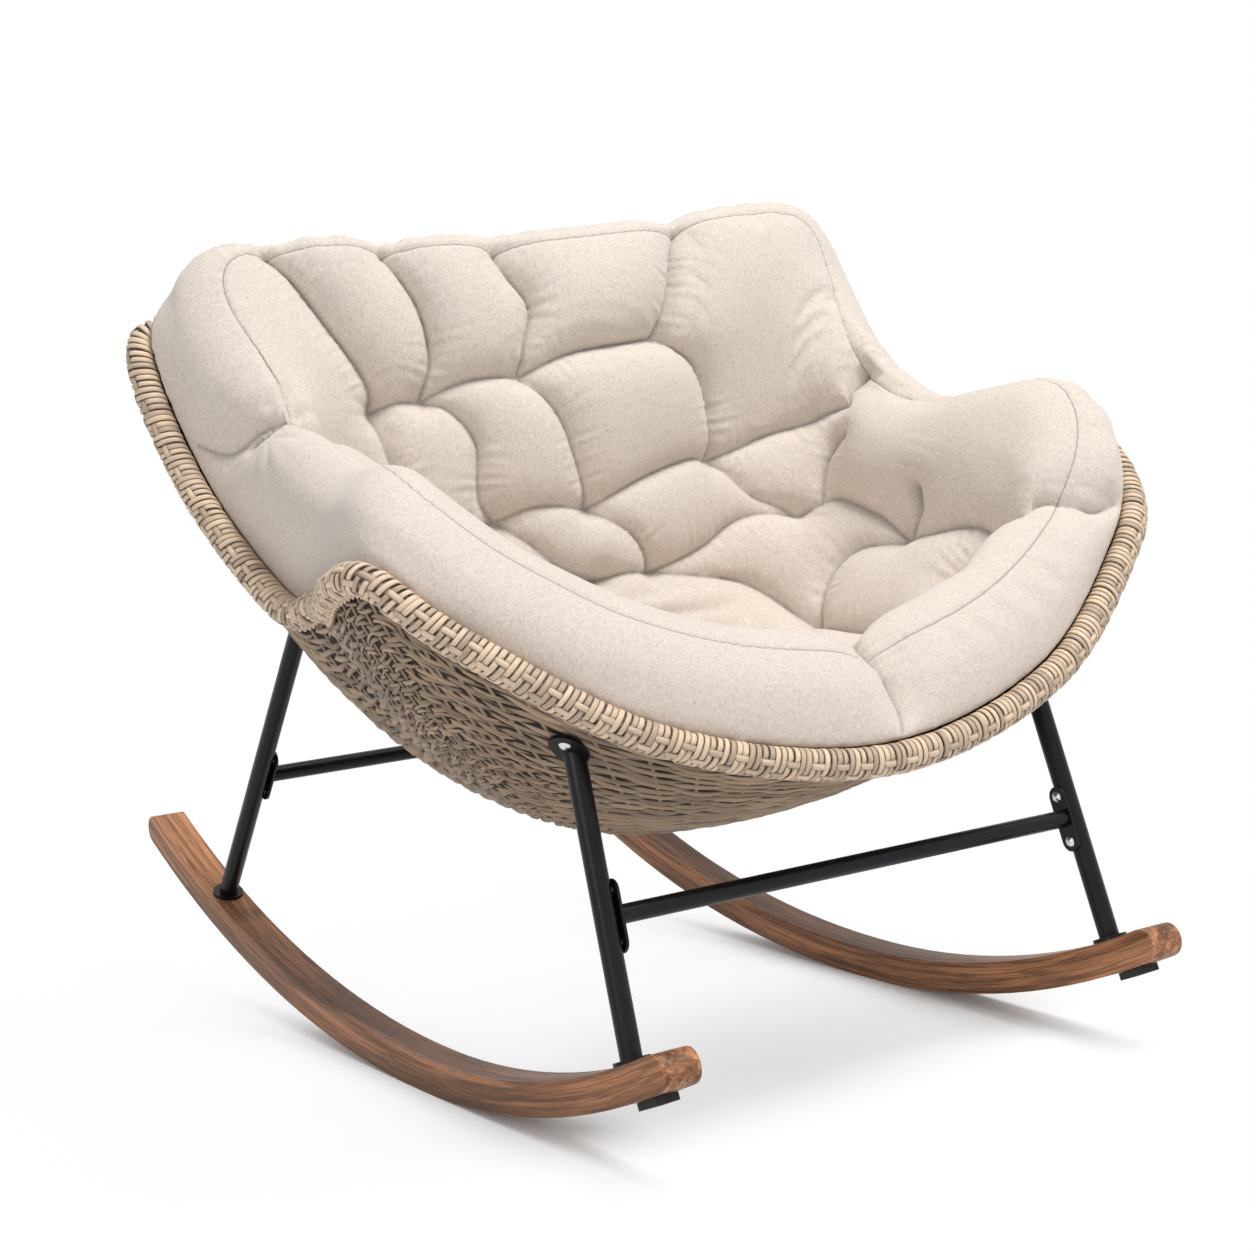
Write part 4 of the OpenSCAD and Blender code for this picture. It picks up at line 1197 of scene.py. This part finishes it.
def small_folds(cover, fit):
    """Yields the heights of the cloth's small folds, one kind after the other."""
    at, gap, edge, free, tuft_gap, tuft = fit.at, fit.gap, fit.edge, fit.free, fit.tuft_gap, fit.tuft
    # drawn in to the creases
    local = np.roll(cover.crease, -1, 0) - cover.crease
    run = np.sum((at - cover.crease[fit.near]) * unit(local[fit.near]), 1) + cover.crease_run[fit.near]
    patch = np.clip(.55 + .5 * wander(at, 90, 5), 0, 1.2)
    small = np.sin(phase(run, 11) + 2.1 * np.sin(run / 23)) + .8 * np.sin(phase(run, 17.3) + 1)
    yield small * 1.1 * patch * np.exp(-gap / 20) * (1 - np.exp(-gap / 4)) * free
    # round the tufts
    axis = np.array([cover.lay([p])[1][0] for p in cover.tufts])
    first = unit(np.cross(axis, [0.3, 1, 0.2]))
    second = np.cross(axis, first)
    away = at - cover.tufts[tuft]
    turn = np.arctan2(np.sum(away * second[tuft], 1), np.sum(away * first[tuft], 1))
    star = np.sin(7 * turn + tuft * 1.7) + .7 * np.sin(11 * turn + tuft * 2.9 + .6 * np.sin(3 * turn))
    yield star * 1.5 * np.exp(-tuft_gap / 19) * (1 - np.exp(-tuft_gap / 7)) * free * (edge > -5)
    # along the border seam
    run = cover.nose_run[distances(cover.nose_tree, at)[1]]
    fringe = np.sin(phase(run, 13) + 1.9 * np.sin(run / 37)) * np.exp(-np.abs(edge) / 9)
    yield fringe * .55 * np.clip(.6 + .5 * np.sin(run / 71) + .3 * np.sin(run / 29), 0, 1.3)
    # slack below the seam, and an uneven fill everywhere
    slack = np.sin(phase(run, 41) + edge / 26 + 1.4 * np.sin(run / 120))
    band = np.exp(-((edge + 28) / 26) ** 2) * np.clip(wander(at, 260, 8) * .8 + .2, 0, 1)
    yield (slack * 1.4 * band + wander(at, 120, 3) * 1.0) * free
    # groove of the seam
    yield -1.7 * np.exp(-(edge / 2.6) ** 2) * (fit.reach > 1.1)
    # fans at the waists
    for spot in cover.waists:
        far = np.linalg.norm(at - spot, axis=1)
        up = cover.lay([spot])[1][0]
        first = unit(np.cross(up, [0.2, 1, 0.3]))
        turn = np.arctan2((at - spot) @ np.cross(up, first), (at - spot) @ first)
        fan = np.sin(9 * turn + 1.2 * np.sin(2 * turn)) + .6 * np.sin(14 * turn + far / 30)
        yield fan * 1.9 * np.exp(-far / 55) * (1 - np.exp(-(far / 26) ** 2)) * free


def closed_cover(cover, finish):
    """The plain cover as a closed mesh."""
    bin_ = MeshBin()
    bin_.grid(cover.points, False, True)
    obj = bin_.object("tufted_cushion", finish)
    work = bmesh.new()
    work.from_mesh(obj.data)
    bmesh.ops.holes_fill(work, edges=work.edges, sides=400)
    bmesh.ops.triangulate(work, faces=[f for f in work.faces if len(f.verts) > 4])
    bmesh.ops.recalc_face_normals(work, faces=work.faces)
    work.to_mesh(obj.data)
    work.free()
    return obj


class CHAIR_OT_cushion(bpy.types.Operator):
    """Make the cushion: tufted, creased and filled form with a sewn border"""
    bl_idname = "chair.cushion"
    bl_label = "Make the cushion"

    def execute(self, context):
        look = context.scene.chair_cushion
        net, depth = look.net / MM, look.crease_depth / MM
        tone = tuple(look.cloth_colour)
        finish = cloth("cushion_cloth", tone, tint(tone, .7), tint(tone, .55))
        cover = Cover()
        obj = closed_cover(cover, finish)
        # even net of faces
        even = obj.modifiers.new("net", "REMESH")
        even.mode = "VOXEL"
        even.voxel_size = look.net
        apply_modifiers(obj)
        # cells filled evenly, and how steeply they leave their creases
        fit, ties = Fit(cover, obj.data), Ties(obj.data)
        full = fullness(ties, fit.gap, fit.free, net)
        slope = full / np.maximum(fit.gap, net * .6)
        for _ in range(4):
            slope = .4 * slope + .6 * ties.gather(slope) / ties.links
        give = np.zeros_like(fit.at)
        before = fit.at + fit.normal * fit.relief(full, depth)[:, None]
        place_vertices(obj.data, before * MM)
        hold = np.maximum(np.clip(1.15 - fit.gap / 16, 0, 1), np.clip(1.2 - fit.tuft_gap / 22, 0, 1))
        hold = np.maximum(np.maximum(hold, 1 - fit.free), .03)
        give = fill_out(obj, before, hold) * fit.free[:, None]
        # finer faces on the plain cover, which then take the relief, the small folds and the swell
        place_vertices(obj.data, fit.at * MM)
        for name, values in (("give", give), ("full", full), ("slope", slope)):
            keep_at_points(obj.data, name, values)
        fine = obj.modifiers.new("fine", "SUBSURF")
        fine.levels = fine.render_levels = 1
        apply_modifiers(obj)
        mesh = obj.data
        give, full, slope = (take_from_points(mesh, name) for name in ("give", "full", "slope"))
        fit, ties = Fit(cover, mesh), Ties(mesh)
        fit.snap(net * .3)
        away = smooth(fit.gap / 16)
        full = full * away + slope * fit.gap * (1 - away)
        height = fit.relief(full, depth)
        for fold in small_folds(cover, fit):
            height += fold
        co = fit.at + fit.normal * height[:, None] + give
        mild = (.5 * np.exp(-fit.gap / 7) * (fit.free > 0))[:, None]
        beside = np.stack([ties.gather(co[:, k]) for k in range(3)], 1) / ties.links[:, None]
        co += mild * (beside - co)
        place_vertices(mesh, co * MM)
        # distances that the cloth's finish reads; the crease distance drives its painted shade in the creases
        on_crease = (fit.edge > -8) | (fit.reach > 1.02)
        keep_at_points(mesh, "crease", np.where(on_crease, fit.gap, FAR))
        keep_at_points(mesh, "seam", np.where(fit.reach > 1.1, fit.edge, FAR))
        finish_mesh(mesh, finish)
        settle(obj, "cushion", "cushion_cloth", "cushion")
        return {"FINISHED"}


# ---------------------------------------------------------------- wood, tubes and fasteners
def ease_edges(mesh, offset):
    """Rounds the long edges of a runner after its flat facets are joined."""
    work = bmesh.new()
    work.from_mesh(mesh)
    bmesh.ops.remove_doubles(work, verts=work.verts, dist=1e-6)
    bmesh.ops.dissolve_limit(work, angle_limit=math.radians(.6), verts=work.verts, edges=work.edges)
    sharp = [e for e in work.edges if len(e.link_faces) == 2 and e.calc_face_angle(0) > math.radians(50)
             and e.calc_length() > .0005]
    bmesh.ops.bevel(work, geom=sharp, offset=offset, offset_type="OFFSET", segments=3, profile=.55,
                    affect="EDGES", clamp_overlap=True)
    work.to_mesh(mesh)
    work.free()


class CHAIR_OT_runners(bpy.types.Operator):
    """Finish the runners: bent wood with eased edges"""
    bl_idname = "chair.runners"
    bl_label = "Finish the runners"

    def execute(self, context):
        look = context.scene.chair_timber
        light = tuple(look.wood_colour)
        finish = walnut("walnut", tint(light, .3), light)
        for name in ("runner_left", "runner_right"):
            mesh = NODES[name].data.copy()
            ease_edges(mesh, look.edge_round)
            finish_mesh(mesh, finish, 28)
            settle(link_piece(name + "_wood", mesh), "chair", "walnut", name)
        return {"FINISHED"}


class CHAIR_OT_metal(bpy.types.Operator):
    """Finish the tubes, rods, screws and pads"""
    bl_idname = "chair.metal"
    bl_label = "Finish the metal"

    def execute(self, context):
        look = context.scene.chair_timber
        black = powder_coat("black_coat", tuple(look.metal_colour), .3)
        rod = powder_coat("black_rod_coat", tint(look.metal_colour, 1.5), .45)
        bright = bright_metal("bright_screw", (.78, .77, .75), .22)
        plated = bright_metal("plated_steel", (.6, .59, .56), .35)
        rubber = pad_rubber("pad_rubber")
        finishes = {
            black: ["leg_front_left", "leg_front_right", "leg_rear_left", "leg_rear_right", "crossbar_front",
                    "crossbar_rear"],
            rod: ["frame_ribs", "mount_plates"],
            bright: ["plate_screws", "mount_screws"],
            plated: ["nut_sleeves", "runner_bolts", "runner_washers", "pad_screws", "mount_nuts", "rim_hoop"],
            rubber: ["stop_pads"]}
        for finish, names in finishes.items():
            for name in names:
                finish_mesh(NODES[name].data, finish, 32)
        return {"FINISHED"}


# ---------------------------------------------------------------- stage
FLOOR_HALF = 30
WHITE = (1, 1, 1, 1)
SKY, SKY_STRENGTH = (.97, .985, 1, 1), .41
# name, place, aim, size, power and colour
LAMPS = (("key", (.9, -1.9, 4.9), (0, -.1, .4), 2.0, 225, (1, .99, .97)),
         ("fill", (-3.6, -1.6, 1.9), (0, -.1, .45), 1.6, 26, (.98, .99, 1)))
CAMERA_PLACE = (-1.4596533, -2.3325918, .7450595)
CAMERA_FORWARD, CAMERA_UP = (.5411842, .8343126, -.1050814), (.1145715, .0506398, .9921235)
CAMERA_LENS, CAMERA_SENSOR = 67.66, 36


def floor_finish():
    """White floor that keeps only the soft shade round what stands on it."""
    m = Shader("floor_white")
    place = m.place()
    tone = m.ramp(m.noise(place, 3.0, 2), [(0, (.93, .93, .93)), (1, (.95, .95, .95))])
    shade = m.node("ShaderNodeBsdfDiffuse", None, {"Color": tone})
    white = m.node("ShaderNodeEmission", None, {"Color": WHITE, "Strength": 1.0})
    smoothly = {"interpolation_type": "SMOOTHSTEP"}
    open_air = m.node("ShaderNodeAmbientOcclusion", {"samples": 8}, {"Distance": .4}, "AO")
    clear = m.node("ShaderNodeMapRange", smoothly, {0: open_air, 1: .3, 2: .78, 3: .05, 4: .97})
    reach = m.node("ShaderNodeVectorMath", {"operation": "LENGTH"}, {0: m.scaled(place, (1, 1, 0))}, "Value")
    far = m.node("ShaderNodeMapRange", smoothly, {0: reach, 1: .72, 2: 1.35})
    plain = m.mix(far, m.mix(clear, shade, white), white)
    m.node("ShaderNodeOutputMaterial", None, {"Surface": m.mix(m.seen(), shade, plain)})
    return m.owner


def set_sky(scene):
    """White where it is seen, and a dimmer cool light on the chair."""
    scene.world = bpy.data.worlds.new("studio")
    sky = Shader("studio", scene.world)
    soft = sky.node("ShaderNodeBackground", None, {"Color": SKY, "Strength": SKY_STRENGTH})
    white = sky.node("ShaderNodeBackground", None, {"Color": WHITE, "Strength": 1.0})
    sky.node("ShaderNodeOutputWorld", None, {"Surface": sky.mix(sky.seen(), soft, white)})


def hang_lamp(scene, name, place, aim, size, power, colour):
    data = bpy.data.lights.new(name, "AREA")
    data.shape = "DISK"
    data.size = size
    data.energy = power
    data.color = colour
    lamp = bpy.data.objects.new(name, data)
    lamp.location = place
    lamp.rotation_euler = (Vector(aim) - Vector(place)).to_track_quat("-Z", "Y").to_euler()
    scene.collection.objects.link(lamp)


def set_camera(scene):
    camera = bpy.data.objects.new("camera", bpy.data.cameras.new("camera"))
    camera.data.lens = CAMERA_LENS
    camera.data.sensor_width = CAMERA_SENSOR
    camera.data.sensor_fit = "HORIZONTAL"
    forward, up = Vector(CAMERA_FORWARD), Vector(CAMERA_UP)
    right = forward.cross(up).normalized()
    up = right.cross(forward).normalized()
    basis = Matrix((right, up, -forward)).transposed().to_4x4()
    camera.matrix_world = Matrix.Translation(CAMERA_PLACE) @ basis
    scene.collection.objects.link(camera)
    scene.camera = camera


class CHAIR_OT_stage(bpy.types.Operator):
    """Set the pale floor, the soft lights and the camera"""
    bl_idname = "chair.stage"
    bl_label = "Set the stage"

    def execute(self, context):
        scene = context.scene
        mesh = bpy.data.meshes.new("floor")
        corners = [(x * FLOOR_HALF, y * FLOOR_HALF, 0) for x, y in ((-1, -1), (1, -1), (1, 1), (-1, 1))]
        mesh.from_pydata(corners, [], [(0, 1, 2, 3)])
        mesh.materials.append(floor_finish())
        link_piece("floor", mesh)
        set_sky(scene)
        for lamp in LAMPS:
            hang_lamp(scene, *lamp)
        set_camera(scene)
        scene.view_settings.view_transform = "Standard"
        return {"FINISHED"}


class CHAIR_PT_panel(bpy.types.Panel):
    """Lists the chair's settings and the buttons that make its pieces"""
    bl_label = "Woven rocking chair"
    bl_idname = "CHAIR_PT_panel"
    bl_space_type = "VIEW_3D"
    bl_region_type = "UI"
    bl_category = "Chair"

    def draw(self, context):
        layout = self.layout
        for name, group in GROUPS.items():
            box = layout.box()
            for setting in group.__annotations__:
                box.prop(getattr(context.scene, name), setting)
        for operator in OPERATORS:
            layout.operator(operator.bl_idname)


GROUPS = {"chair_weave": ChairWeave, "chair_cushion": ChairCushion, "chair_timber": ChairTimber}
OPERATORS = (CHAIR_OT_weave, CHAIR_OT_rim, CHAIR_OT_cushion, CHAIR_OT_runners, CHAIR_OT_metal, CHAIR_OT_stage)


def register():
    for name, group in GROUPS.items():
        bpy.utils.register_class(group)
        setattr(bpy.types.Scene, name, bpy.props.PointerProperty(type=group))
    for cls in OPERATORS + (CHAIR_PT_panel,):
        bpy.utils.register_class(cls)


def unregister():
    for cls in (CHAIR_PT_panel,) + OPERATORS[::-1]:
        bpy.utils.unregister_class(cls)
    for name, group in GROUPS.items():
        delattr(bpy.types.Scene, name)
        bpy.utils.unregister_class(group)


def main():
    register()
    for operator in OPERATORS:
        group, name = operator.bl_idname.split(".")
        getattr(getattr(bpy.ops, group), name)()


if __name__ == "__main__":
    main()
